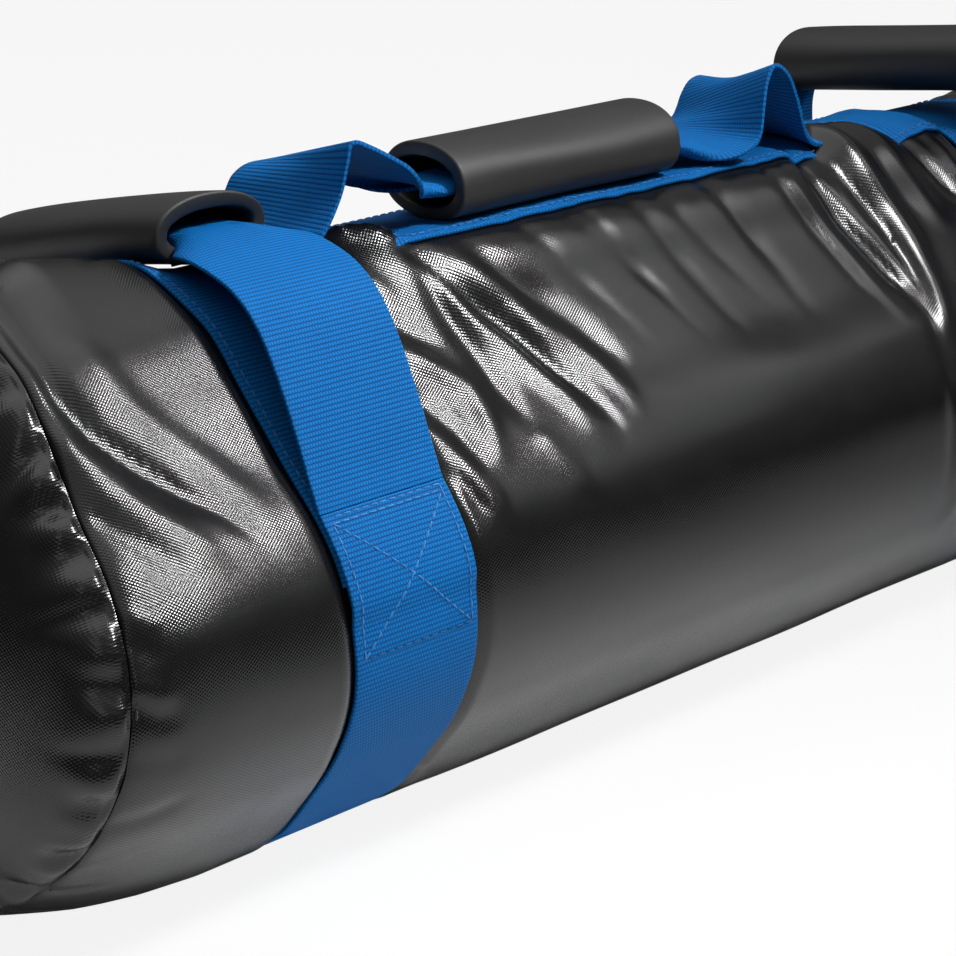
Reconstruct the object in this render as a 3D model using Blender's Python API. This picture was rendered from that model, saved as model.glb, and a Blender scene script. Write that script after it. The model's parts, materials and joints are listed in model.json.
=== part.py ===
"""A barrel-shaped sandbag trainer.

A shell of coated fabric is sewn round a sand liner. Two girth bands of webbing cross under the belly,
and each carries a foam grip across the top. A third grip lies along the top. The bag lies along X on its
flattened underside, with its front towards -Y. Angles round the barrel start at the front and run up over
the top.
"""
import math
from dataclasses import dataclass

import bmesh
import bpy
from mathutils import Vector

MM = 0.001
GAP = 0.3 * MM

# Cross-section of the barrel: shares of a mean radius at even angles, cut flat where it rests
MEAN_RADIUS = 95 * MM
FLOOR_CUT = 2 * MM
SECTION_SHARES = (1.064, 1.074, 1.034, 0.988, 1.030, 1.118, 1.118, 1.088, 1.024, 0.990, 1.034, 1.072,
                  1.062, 1.004, 0.950, 0.937, 0.927, 0.914, 0.907, 0.914, 0.927, 0.937, 0.950, 1.004)
AROUND = 48
FACET_SHARE = 0.1
FACET_SNAP = 1e-6

# Shell
SEAM_SPAN = 594 * MM
PANEL_THICKNESS = 1.0 * MM
SEAM_DRAW = 4.5 * MM
SEAM_ALLOWANCE = 10 * MM
SEAM_LEAN_SHARE = 0.17
SHOULDER_LENGTH = 36 * MM
SHOULDER_STEPS = 4
CAP_BULGE = 24 * MM
CAP_PUFF_SHARE = 2.3
CAP_STEPS = 7

# Webbing and where it is sewn
WEBBING_WIDTH = 50 * MM
WEBBING_THICKNESS = 1.4 * MM
BAND_SPACING = 380 * MM
GROOVE_DEPTH = 2.5 * MM
GROOVE_SLOPE = 5 * MM
BOX_TOP_ANGLE = math.radians(31)
STRIP_END_ANGLE = math.radians(18)
LAYER_STEP_ANGLE = math.radians(8)
ROLL_TURN = math.radians(232)
ROLL_STEPS = 4
FLAT_ROLL_SHARE = 0.001
ROLL_LIFT = 1.5 * MM

# Foam grips
GRIP_LENGTH = 107 * MM
GRIP_WIDTH = 41 * MM
GRIP_HEIGHT = 26.5 * MM
FLAT_GRIP_WIDTH = 44 * MM
FLAT_GRIP_HEIGHT = 22.5 * MM
GRIP_WALL = 4.8 * MM
ROLLED_FLAT_SHARE = 0.446
ROLLED_FLAT_WIDTH = ROLLED_FLAT_SHARE * (GRIP_WIDTH - 2 * GRIP_WALL)
GRIP_CHAMFER = 1.2 * MM
GRIP_ROUND_SHARE = 2.2
GRIP_SIDES = 24
GRIP_TRAVEL = 8 * MM

# How each loop lies: the grip's middle, its slope and the stand-off of its strap
LEFT_GRIP_MIDDLE = 47 * MM
LEFT_GRIP_SLOPE = math.radians(13)
LEFT_GRIP_RAISE = 0 * MM
RIGHT_GRIP_MIDDLE = 15 * MM
RIGHT_GRIP_SLOPE = math.radians(7.5)
RIGHT_GRIP_RAISE = 5 * MM
MIDDLE_GRIP_MIDDLE = -49 * MM
MIDDLE_GRIP_SETBACK = -8 * MM
LEG_STEPS = 11
LEG_ROLL_START_SHARE = 0.7
LEG_LEAVE_ANGLE = math.radians(62)
LEFT_FRONT_PULLS = (40 * MM, 37 * MM)
LEFT_BACK_PULLS = (12 * MM, 26 * MM)
RIGHT_FRONT_PULLS = (32 * MM, 24 * MM)
RIGHT_BACK_PULLS = (22 * MM, 13 * MM)

# Arches of the middle handle, as shares of each arch's run and rise
ARCH_RISE = 32 * MM
LEFT_ARCH_LEAN = math.radians(14)
LEFT_ARCH_TWIST = math.radians(-6)
LEFT_TAIL = 18 * MM
LEFT_FOOT_INSET = 2 * MM
LEFT_ARCH_SHARES = ((0.00, 0.00), (0.18, 0.00), (0.25, 0.14), (0.33, 0.30), (0.40, 0.52), (0.43, 0.80),
                    (0.50, 1.00), (0.58, 0.98), (0.70, 0.83), (0.86, 0.60), (1.00, 0.46))
RIGHT_ARCH_FOOT = 80 * MM
RIGHT_ARCH_LEAN = math.radians(16)
RIGHT_ARCH_TWIST = math.radians(16)
RIGHT_ARCH_SHARES = ((0.00, 0.30), (0.22, 0.20), (0.44, 0.12), (0.56, 0.16), (0.61, 0.42), (0.67, 0.70),
                     (0.77, 0.82), (0.88, 0.70), (0.96, 0.36), (1.04, 0.05), (1.10, 0.00), (1.30, 0.00))
ARCH_STEPS = 26
TAIL_SHARE = 0.3
MIDDLE_ROLL_SHARE = 0.16

# Zip on the back of the barrel
ZIP_ANGLE = math.radians(168)
ZIP_BAND_CLEARANCE = 25 * MM
ZIP_TAPE_OVERRUN = 10 * MM
ZIP_TAPE_WIDTH = 16 * MM
ZIP_TAPE_THICKNESS = 0.8 * MM
ZIP_SLOT_WIDTH = 12 * MM
ZIP_COIL_WIDTH = 2.4 * MM
ZIP_COIL_HEIGHT = 1.8 * MM
ZIP_STOP_LENGTH = 3 * MM
SLIDER_LENGTH = 11 * MM
SLIDER_WALL = 1.2 * MM
BRIDGE_LENGTH = 8 * MM
BRIDGE_WIDTH = 2 * MM
BRIDGE_LEG = 1.4 * MM
BRIDGE_HEIGHT = 2.2 * MM
PULL_PIN = 1.2 * MM
PULL_ARM_WIDTH = 1.2 * MM
PULL_ARM_LENGTH = 7 * MM
PULL_PLATE_LENGTH = 17 * MM

# Filling
WADDING_THICKNESS = 20 * MM
END_PAD_DEPTH = 42 * MM
LINER_END_CLEARANCE = 14 * MM
LINER_SETBACK = 5 * MM
LINER_THICKNESS = 0.6 * MM
LINER_CORNER = 26 * MM
LINER_CORNER_STEPS = 3
LINER_NECK_RADIUS = 12 * MM
LINER_NECK_LENGTH = 12 * MM
LINER_MOUTH_FLARE = 6 * MM
TIE_WIDTH = 5 * MM
TIE_THICKNESS = 1.8 * MM

HALF_SEAM = SEAM_SPAN / 2
HALF_BAND = BAND_SPACING / 2
HALF_WEB = WEBBING_WIDTH / 2
BAND_OUTER = HALF_BAND + HALF_WEB
BAND_INNER = HALF_BAND - HALF_WEB
ZIP_LENGTH = 2 * (BAND_INNER - ZIP_BAND_CLEARANCE)
WADDING_LENGTH = SEAM_SPAN - 2 * END_PAD_DEPTH
LINER_LENGTH = WADDING_LENGTH - 2 * LINER_END_CLEARANCE
TOP_ANGLE = math.pi / 2
NORMAL_STEP = math.radians(1)
SHARP_ANGLE = math.radians(40)

COATED = ("coated_fabric", (0.012, 0.012, 0.013), 0.34, 0.0)
WEBBING = ("blue_webbing", (0.004, 0.118, 0.420), 0.72, 0.0)
FOAM = ("black_foam", (0.018, 0.018, 0.019), 0.78, 0.0)
TAPE = ("zip_tape", (0.014, 0.014, 0.015), 0.85, 0.0)
NYLON = ("zip_coil", (0.020, 0.020, 0.022), 0.45, 0.0)
METAL = ("zip_metal", (0.045, 0.045, 0.048), 0.35, 1.0)
SAND = ("sand", (0.520, 0.390, 0.240), 0.95, 0.0)
LINER = ("liner_weave", (0.640, 0.620, 0.560), 0.85, 0.0)
WADDING = ("wadding", (0.700, 0.690, 0.660), 0.95, 0.0)


@dataclass
class Station:
    """One place along a webbing: its middle, the ways of its width and its face, and its shape there."""

    origin: Vector
    side: Vector
    face: Vector
    rolled: float = 0.0
    crowned: float = 0.0
    ground: float = 0.0


def section_radius(angle):
    """Distance from the barrel's axis to its surface at an angle, read smoothly between the shares."""
    count = len(SECTION_SHARES)
    at = angle * count / (2 * math.pi)
    index = math.floor(at)
    t = at - index
    a, b, c, d = (SECTION_SHARES[(index + k) % count] for k in (-1, 0, 1, 2))
    bend = (c - a) * t + (2 * a - 5 * b + 4 * c - d) * t * t + (3 * b - 3 * c + d - a) * t ** 3
    return MEAN_RADIUS * (b + bend / 2)


AXIS_HEIGHT = section_radius(-TOP_ANGLE) - FLOOR_CUT


def section_corner(index):
    """Corner of the faceted cross-section, from the barrel's axis."""
    angle = 2 * math.pi * index / AROUND
    radius = section_radius(angle)
    return Vector((-radius * math.cos(angle), max(radius * math.sin(angle), -AXIS_HEIGHT)))


def section_point(angle, share=1.0):
    """Y and Z of the faceted cross-section at an angle, scaled about the axis by a share."""
    index = math.floor(angle * AROUND / (2 * math.pi) + FACET_SNAP)
    here = section_corner(index)
    facet = section_corner(index + 1) - here
    way = Vector((-math.cos(angle), math.sin(angle)))
    along = (here.y * way.x - here.x * way.y) / (facet.x * way.y - facet.y * way.x)
    point = here + facet * along
    return share * point.x, AXIS_HEIGHT + share * point.y


def share_at(height):
    """Share of the cross-section that lies a height above the barrel's surface."""
    return 1 + height / MEAN_RADIUS


def leaned(x, z):
    """X of a point after the sagging filling has pushed the foot of each end outwards."""
    weight = min(max((abs(x) - BAND_OUTER - GROOVE_SLOPE) / (HALF_SEAM - BAND_OUTER - GROOVE_SLOPE), 0), 1)
    return x - math.copysign(1, x) * weight * SEAM_LEAN_SHARE * (z - AXIS_HEIGHT)


def place(x, angle, height=0.0):
    """World place of a point on the barrel, a height above its surface."""
    y, z = section_point(angle, share_at(height))
    return Vector((leaned(x, z), y, z))


def surface_normal(angle):
    """Outward direction of the cross-section at an angle."""
    before = Vector((0, *section_point(angle - NORMAL_STEP)))
    after = Vector((0, *section_point(angle + NORMAL_STEP)))
    along = (after - before).normalized()
    return Vector((0, -along.z, along.y))


def top_height(y, height=0.0):
    """Z of the barrel's upper side at a Y, a height above its surface."""
    low, high = 0.0, math.pi
    for _ in range(40):
        middle = (low + high) / 2
        if section_point(middle, share_at(height))[0] < y:
            low = middle
        else:
            high = middle
    return section_point(low, share_at(height))[1]


def layer_height(layer, ground=0.0):
    """Height of a webbing layer's lower face above the barrel's surface, counting layers from 1."""
    return ground + layer * GAP + (layer - 1) * WEBBING_THICKNESS


def material(look):
    """Principled material of one look, made once."""
    name, colour, roughness, metallic = look
    found = bpy.data.materials.get(name)
    if found:
        return found
    made = bpy.data.materials.new(name)
    made.use_nodes = True
    shader = made.node_tree.nodes["Principled BSDF"]
    shader.inputs["Base Color"].default_value = (*colour, 1)
    shader.inputs["Roughness"].default_value = roughness
    shader.inputs["Metallic"].default_value = metallic
    return made


def skin(name, rings, look, closed=False, pivot=None, smooth=True):
    """Object skinned over rings of points, with filled ends or as a loop. A ring of one point is a pole."""
    mesh_in_work = bmesh.new()
    loops = [[mesh_in_work.verts.new(point) for point in ring] for ring in rings]
    pairs = list(zip(loops, loops[1:]))
    if closed:
        pairs.append((loops[-1], loops[0]))
    for first, second in pairs:
        count = max(len(first), len(second))
        for i in range(count):
            j = (i + 1) % count
            corners = [ring[k % len(ring)] for ring, k in ((first, i), (first, j), (second, j), (second, i))]
            mesh_in_work.faces.new(list(dict.fromkeys(corners)))
    if not closed:
        for end in (loops[0], loops[-1]):
            if len(end) > 1:
                mesh_in_work.faces.new(end)
    bmesh.ops.recalc_face_normals(mesh_in_work, faces=mesh_in_work.faces)
    return finish(name, mesh_in_work, look, pivot, smooth)


def finish(name, mesh_in_work, look, pivot=None, smooth=True):
    """Object from a finished bmesh, with its origin at the pivot."""
    origin = pivot or Vector((0, 0, 0))
    bmesh.ops.translate(mesh_in_work, verts=mesh_in_work.verts, vec=-origin)
    mesh = bpy.data.meshes.new(name)
    mesh_in_work.to_mesh(mesh)
    mesh_in_work.free()
    if smooth:
        mesh.shade_smooth()
        mesh.set_sharp_from_angle(angle=SHARP_ANGLE)
    mesh.materials.append(material(look))
    made = bpy.data.objects.new(name, mesh)
    made.location = origin
    bpy.context.scene.collection.objects.link(made)
    return made


def thicken(line, thickness):
    """A line of (x, depth) points, and its copy a thickness further in."""
    normals = []
    for start, end in zip(line, line[1:]):
        run = Vector((end[0] - start[0], end[1] - start[1])).normalized()
        normals.append(Vector((-run.y, run.x)))
    inner = []
    for i, point in enumerate(line):
        before = normals[max(i - 1, 0)]
        after = normals[min(i, len(normals) - 1)]
        mitre = (before + after) / (1 + before.dot(after))
        inner.append((point[0] + mitre.x * thickness, point[1] + mitre.y * thickness))
    return inner


def shell_ring(x, depth, mirrored=False):
    """Ring of points round the bag at a depth below its surface, or one point on the axis."""
    if mirrored:
        x = -x
    if depth >= MEAN_RADIUS:
        return [Vector((x, 0, AXIS_HEIGHT))]
    return [place(x, 2 * math.pi * i / AROUND, -depth) for i in range(AROUND)]


def revolve(name, outline, look, closed=False, mirrored=False):
    """Object swept round the bag from an outline of (x, depth) points."""
    return skin(name, [shell_ring(x, depth, mirrored) for x, depth in outline], look, closed)


def barrel_line():
    """Outer line of the barrel panel from one turned-in end to the other, as (x, depth) points."""
    half = [(-HALF_SEAM, SEAM_DRAW + SEAM_ALLOWANCE)]
    for i in range(SHOULDER_STEPS + 1):
        turn = i / SHOULDER_STEPS * math.pi / 2
        half.append((-HALF_SEAM + SHOULDER_LENGTH * (1 - math.cos(turn)), SEAM_DRAW * (1 - math.sin(turn))))
    half += [(-BAND_OUTER - GROOVE_SLOPE, 0), (-BAND_OUTER, GROOVE_DEPTH), (-BAND_INNER, GROOVE_DEPTH),
             (-BAND_INNER + GROOVE_SLOPE, 0)]
    return half + [(-x, depth) for x, depth in reversed(half)]


def build_barrel():
    """Barrel panel with its turned-in ends and the slot that the zip closes."""
    line = barrel_line()
    outline = line + list(reversed(thicken(line, PANEL_THICKNESS)))
    panel = revolve("barrel_panel", outline, COATED, closed=True)
    y, z = section_point(ZIP_ANGLE)
    bpy.ops.mesh.primitive_cube_add(size=1, location=(0, y, z))
    slot = bpy.context.object
    slot.name = "zip_slot_cutter"
    slot.scale = (ZIP_LENGTH + ZIP_TAPE_OVERRUN, ZIP_SLOT_WIDTH, ZIP_SLOT_WIDTH)
    align_box(slot, ZIP_ANGLE)
    slot.hide_render = True
    slot.display_type = "WIRE"
    cut = panel.modifiers.new("zip_slot", "BOOLEAN")
    cut.operation = "DIFFERENCE"
    cut.solver = "EXACT"
    cut.object = slot


def align_box(box, angle):
    """Turn a box about X so that its Z axis points out of the barrel's surface at an angle."""
    normal = surface_normal(angle)
    box.rotation_euler = (math.atan2(-normal.y, normal.z), 0, 0)


def dome_line(face_x, bulge, rim_depth):
    """Dome from its pole to its rim, as (x, depth) points."""
    rim_radius = MEAN_RADIUS - rim_depth
    line = [(face_x - bulge, MEAN_RADIUS)]
    for i in range(1, CAP_STEPS + 1):
        turn = i / CAP_STEPS * math.pi / 2
        radius = rim_radius * math.sin(turn) ** (2 / CAP_PUFF_SHARE)
        rise = bulge * math.cos(turn) ** (2 / CAP_PUFF_SHARE) if i < CAP_STEPS else 0
        line.append((face_x - rise, MEAN_RADIUS - radius))
    return line


def build_cap(name, mirrored):
    """End cap: a puffed disc whose edge is turned in against the barrel's edge."""
    face = -HALF_SEAM - GAP
    line = dome_line(face, CAP_BULGE, SEAM_DRAW)
    line.append((face, SEAM_DRAW + SEAM_ALLOWANCE))
    outline = line + list(reversed(thicken(line, PANEL_THICKNESS)))
    revolve(name, outline, COATED, mirrored=mirrored)


def angles_between(start, end, extra=()):
    """Angles from start to end that match the barrel's own facets, with the ends and some extra ones."""
    step = 2 * math.pi / AROUND
    first = math.floor(start / step)
    inside = [i * step for i in range(first, math.ceil(end / step) + 1)] + list(extra)
    kept = [start]
    for angle in sorted(inside):
        if kept[-1] + step * FACET_SHARE < angle < end - step * FACET_SHARE:
            kept.append(angle)
    return kept + [end]


def wrap(name, middle_x, half_width, angles, heights, look, thickness=WEBBING_THICKNESS):
    """Flat tape wrapped round the barrel through given angles, at a height that may vary with the angle."""
    rings = []
    for angle in angles:
        low = heights(angle)
        rings.append([place(middle_x - half_width, angle, low), place(middle_x + half_width, angle, low),
                      place(middle_x + half_width, angle, low + thickness),
                      place(middle_x - half_width, angle, low + thickness)])
    return skin(name, rings, look, smooth=False)


def build_top_strip(name, middle_x):
    """Strip of a girth band, sewn flat over the top from one stitched box to the other."""
    low = layer_height(1, -GROOVE_DEPTH)
    angles = angles_between(STRIP_END_ANGLE, math.pi - STRIP_END_ANGLE)
    wrap(name, middle_x, HALF_WEB, angles, lambda angle: low, WEBBING)


def build_belly_band(name, middle_x):
    """Belly webbing: flat under the bag, stepping up over the strip's two ends at the stitched boxes."""
    low = layer_height(1, -GROOVE_DEPTH)
    high = layer_height(2, -GROOVE_DEPTH)
    step_start = STRIP_END_ANGLE - LAYER_STEP_ANGLE
    step_end = STRIP_END_ANGLE - LAYER_STEP_ANGLE / 2

    def height(angle):
        above_side = max(angle, -math.pi - angle)
        share = min(max((above_side - step_start) / (step_end - step_start), 0), 1)
        return low + (high - low) * share

    steps = (step_start, step_end, -math.pi - step_start, -math.pi - step_end)
    angles = angles_between(-math.pi - BOX_TOP_ANGLE, BOX_TOP_ANGLE, steps)
    wrap(name, middle_x, HALF_WEB, angles, height, WEBBING)


def build_base_strip():
    """Strip sewn along the top between the two girth bands."""
    half_angle = HALF_WEB / section_radius(TOP_ANGLE)
    low = layer_height(1)
    angles = angles_between(TOP_ANGLE - half_angle, TOP_ANGLE + half_angle)
    wrap("base_strip", 0, BAND_INNER - GAP, angles, lambda angle: low, WEBBING)


def webbing_line(rolled):
    """Middle line of the webbing's cross-section as (across, up, lean) points: its edges roll up and in."""
    edge = (WEBBING_WIDTH - ROLLED_FLAT_WIDTH) / 2
    turn = max(rolled, FLAT_ROLL_SHARE) * ROLL_TURN
    radius = edge / turn
    half = []
    for i in range(ROLL_STEPS + 1):
        lean = turn * i / ROLL_STEPS
        half.append((ROLLED_FLAT_WIDTH / 2 + radius * math.sin(lean), radius * (1 - math.cos(lean)), lean))
    return [(-across, up, -lean) for across, up, lean in reversed(half)] + [(0, 0, 0)] + half


def webbing_ring(station):
    """Closed outline of the webbing at one station."""
    half = WEBBING_THICKNESS / 2
    under, over = [], []
    for across, up, lean in webbing_line(station.rolled):
        draped = top_height(station.origin.y + across, station.ground)
        drop = station.crowned * (draped - top_height(0, station.ground))
        for points, way in ((under, -half), (over, half)):
            u = across - way * math.sin(lean)
            v = up + drop + way * math.cos(lean)
            points.append(station.origin + station.side * u + station.face * v)
    return under + list(reversed(over))


def webbing(name, stations, pivot=None):
    """Webbing skinned through its stations."""
    return skin(name, [webbing_ring(station) for station in stations], WEBBING, pivot=pivot, smooth=False)


@dataclass
class GripSeat:
    """Where a grip lies: the middle of its bore, the way along it and its height across the bore."""

    middle: Vector
    along: Vector
    width: float
    height: float

    def end(self, sign, beyond=0.0):
        """Middle of the bore at one end, or beyond it."""
        return self.middle + self.along * sign * (GRIP_LENGTH / 2 + beyond)

    def core_drop(self):
        """How far the rolled webbing's middle line lies below the bore's middle."""
        return self.height / 2 - GRIP_WALL - ROLL_LIFT - WEBBING_THICKNESS / 2


def cross_seat(middle_x, middle_y, slope, raise_by, size, ground):
    """Seat of a transverse grip of a width and height, resting on the webbing under it or held above it."""
    along = Vector((0, math.cos(slope), -math.sin(slope)))
    half = GRIP_LENGTH / 2 * math.cos(slope)
    tallest = -MEAN_RADIUS
    for i in range(AROUND + 1):
        y = middle_y - half + 2 * half * i / AROUND
        need = top_height(y, ground) + GAP + size[1] / 2 + (y - middle_y) * math.tan(slope)
        tallest = max(tallest, need)
    return GripSeat(Vector((middle_x, middle_y, tallest + raise_by)), along, *size)


def middle_seat():
    """Seat of the middle grip, resting on the base strip."""
    tallest = -MEAN_RADIUS
    for i in range(AROUND + 1):
        across = GRIP_WIDTH / 2 * (2 * i / AROUND - 1)
        reach = (1 - abs(2 * across / GRIP_WIDTH) ** GRIP_ROUND_SHARE) ** (1 / GRIP_ROUND_SHARE)
        need = top_height(MIDDLE_GRIP_SETBACK + across, layer_height(2)) + GRIP_HEIGHT / 2 * reach
        tallest = max(tallest, need)
    middle = Vector((MIDDLE_GRIP_MIDDLE, MIDDLE_GRIP_SETBACK, tallest))
    return GripSeat(middle, Vector((1, 0, 0)), GRIP_WIDTH, GRIP_HEIGHT)


def oval_ring(seat, along_by, inset):
    """Upright oval round a grip's bore, inset from its outer size."""
    centre = seat.middle + seat.along * along_by
    side = Vector((1, 0, 0)) if abs(seat.along.x) < 1 / 2 else Vector((0, 1, 0))
    points = []
    for i in range(GRIP_SIDES):
        turn = 2 * math.pi * i / GRIP_SIDES
        spread = abs(math.cos(turn)) ** GRIP_ROUND_SHARE + abs(math.sin(turn)) ** GRIP_ROUND_SHARE
        reach = spread ** (-1 / GRIP_ROUND_SHARE)
        across = (seat.width / 2 - inset) * reach * math.cos(turn)
        up = (seat.height / 2 - inset) * reach * math.sin(turn)
        points.append(centre + side * across + Vector((0, 0, up)))
    return points


def build_grip(name, seat):
    """Foam sleeve: an oval tube with upright ends and eased outer edges."""
    half = GRIP_LENGTH / 2
    outline = [(-half, GRIP_CHAMFER), (GRIP_CHAMFER - half, 0), (half - GRIP_CHAMFER, 0),
               (half, GRIP_CHAMFER), (half, GRIP_WALL), (-half, GRIP_WALL)]
    rings = [oval_ring(seat, along_by, inset) for along_by, inset in outline]
    skin(name, rings, FOAM, closed=True, pivot=seat.middle)


def core_stations(seat, side):
    """Stations of the rolled webbing through a grip, from one mouth to the other."""
    drop = Vector((0, 0, -seat.core_drop()))
    up = Vector((0, 0, 1))
    return [Station(seat.end(sign, GRIP_TRAVEL) + drop, side, up, 1.0) for sign in (-1, 1)]


def leg_stations(seat, sign, band_x, pulls):
    """Stations of a webbing leg that leaves its stitched box along the bag and meets the grip's webbing."""
    angle = BOX_TOP_ANGLE if sign < 0 else math.pi - BOX_TOP_ANGLE
    angle -= sign * GAP / MEAN_RADIUS
    lift = layer_height(2, -GROOVE_DEPTH) + WEBBING_THICKNESS / 2
    foot = place(band_x, angle, lift)
    leave = Vector((0, -sign * math.cos(LEG_LEAVE_ANGLE), math.sin(LEG_LEAVE_ANGLE)))
    mouth = seat.end(sign, GRIP_TRAVEL) + Vector((0, sign * GAP, -seat.core_drop()))
    bends = (foot, foot + leave * pulls[0], mouth + seat.along * sign * pulls[1], mouth)
    stations = []
    for i in range(LEG_STEPS + 1):
        t = i / LEG_STEPS
        weights = ((1 - t) ** 3, 3 * t * (1 - t) ** 2, 3 * t * t * (1 - t), t ** 3)
        point = sum((bend * weight for bend, weight in zip(bends, weights)), Vector((0, 0, 0)))
        slopes = (-3 * (1 - t) ** 2, 3 * (1 - t) * (1 - 3 * t), 3 * t * (2 - 3 * t), 3 * t * t)
        run = sum((bend * weight for bend, weight in zip(bends, slopes)), Vector((0, 0, 0))).normalized()
        face = Vector((0, sign * run.z, -sign * run.y))
        if i == LEG_STEPS:
            face = Vector((0, 0, 1))
        rolled = max(t - LEG_ROLL_START_SHARE, 0) / (1 - LEG_ROLL_START_SHARE)
        stations.append(Station(point, Vector((1, 0, 0)), face, rolled))
    return stations


def build_cross_handle(label, band_x, seat, front_pulls, back_pulls):
    """A transverse handle: grip, the webbing in it and its two legs."""
    build_grip(f"{label}_grip", seat)
    webbing(f"{label}_core", core_stations(seat, Vector((1, 0, 0))), pivot=seat.middle)
    webbing(f"{label}_front_leg", leg_stations(seat, -1, band_x, front_pulls))
    webbing(f"{label}_back_leg", leg_stations(seat, 1, band_x, back_pulls))


def smooth_route(points, count):
    """Points read evenly from a smooth curve through the given ones, with its directions."""
    padded = [2 * points[0] - points[1], *points, 2 * points[-1] - points[-2]]
    route = []
    for i in range(count + 1):
        at = i / count * (len(points) - 1)
        k = min(int(at), len(points) - 2)
        t = at - k
        a, b, c, d = padded[k:k + 4]
        slope = (c - a) / 2
        square = (2 * a - 5 * b + 4 * c - d) / 2
        cube = (3 * b - 3 * c + d - a) / 2
        point = b + slope * t + square * t ** 2 + cube * t ** 3
        run = slope + square * (2 * t) + cube * (3 * t ** 2)
        route.append((point, run.normalized()))
    return route


def arch_stations(shares, start_x, run, ground, mouth, lean, twist):
    """Stations of an arch of the middle handle, read along its route of run and rise shares."""
    base = top_height(0, ground) + WEBBING_THICKNESS / 2
    points = []
    for run_share, rise_share in shares:
        points.append(Vector((start_x + run * run_share, 0, base + ARCH_RISE * rise_share)))
    at_mouth = -1 if mouth.x > points[0].x else 0
    points[at_mouth] = Vector((mouth.x, 0, mouth.z))
    stations = []
    span = abs(points[-1].x - points[0].x)
    for point, along in smooth_route(points, ARCH_STEPS):
        if point.z < base:
            point.z = base
            along = Vector((1, 0, 0))
        near = 1 - min(abs(point.x - mouth.x) / span, 1)
        rolled = max(near - (1 - MIDDLE_ROLL_SHARE), 0) / MIDDLE_ROLL_SHARE
        setback = MIDDLE_GRIP_SETBACK * max(near - TAIL_SHARE, 0) / (1 - TAIL_SHARE)
        high = min(max((point.z - base) / ARCH_RISE, 0), 1)
        crowned = max(1 - 3 * high, 0) * (1 - rolled)
        weight = min(high * 2, 1) * (1 - rolled)
        turned = twist * weight
        side = Vector((math.sin(turned), math.cos(turned), -math.sin(lean * weight))).normalized()
        upright = min(max(near - (1 - 2 * MIDDLE_ROLL_SHARE), 0) / MIDDLE_ROLL_SHARE, 1)
        face = along.cross(side).lerp(Vector((0, 0, 1)), upright).normalized()
        stations.append(Station(point + Vector((0, setback, 0)), side, face, rolled, crowned, ground + GAP))
    end = stations[at_mouth]
    end.face = Vector((0, 0, 1))
    end.side = Vector((0, 1, 0))
    end.rolled = 1.0
    end.crowned = 0.0
    end.origin = mouth
    return stations


def build_middle_handle(seat):
    """The handle along the top: grip, the webbing in it and its two arches."""
    side = Vector((0, 1, 0))
    build_grip("middle_grip", seat)
    webbing("middle_core", core_stations(seat, side), pivot=seat.middle)
    drop = Vector((0, 0, -seat.core_drop()))
    left_mouth = seat.end(-1, GRIP_TRAVEL + GAP) + drop
    right_mouth = seat.end(1, GRIP_TRAVEL + GAP) + drop
    left_start = -BAND_INNER - LEFT_FOOT_INSET - LEFT_TAIL
    left = arch_stations(LEFT_ARCH_SHARES, left_start, left_mouth.x - left_start,
                         layer_height(2, -GROOVE_DEPTH), left_mouth, LEFT_ARCH_LEAN, LEFT_ARCH_TWIST)
    webbing("middle_left_arch", left)
    right = arch_stations(RIGHT_ARCH_SHARES, right_mouth.x, RIGHT_ARCH_FOOT - right_mouth.x,
                          layer_height(2), right_mouth, RIGHT_ARCH_LEAN, RIGHT_ARCH_TWIST)
    webbing("middle_right_arch", right)


@dataclass
class ZipFrame:
    """Place on the barrel where the zip runs, with the ways across it and out of it."""

    origin: Vector
    across: Vector
    out: Vector

    def at(self, x, across, out):
        """World point from distances along, across and out of the zip."""
        return self.origin + Vector((x, 0, 0)) + self.across * across + self.out * out

    def box_ring(self, x, across, out):
        """Ring of a box's four corners at one X, from pairs of distances across and out."""
        low, high = across
        near, far = out
        return [self.at(x, low, near), self.at(x, high, near), self.at(x, high, far), self.at(x, low, far)]


def zip_frame():
    """The zip's place: its origin on the barrel's surface at the zip's angle."""
    out = surface_normal(ZIP_ANGLE)
    y, z = section_point(ZIP_ANGLE)
    return ZipFrame(Vector((0, y, z)), Vector((0, -out.z, out.y)), out)


def zip_bar(name, frame, x_pair, across, out, look):
    """Straight bar of the zip between two X."""
    skin(name, [frame.box_ring(x, across, out) for x in x_pair], look, smooth=False)


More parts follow.
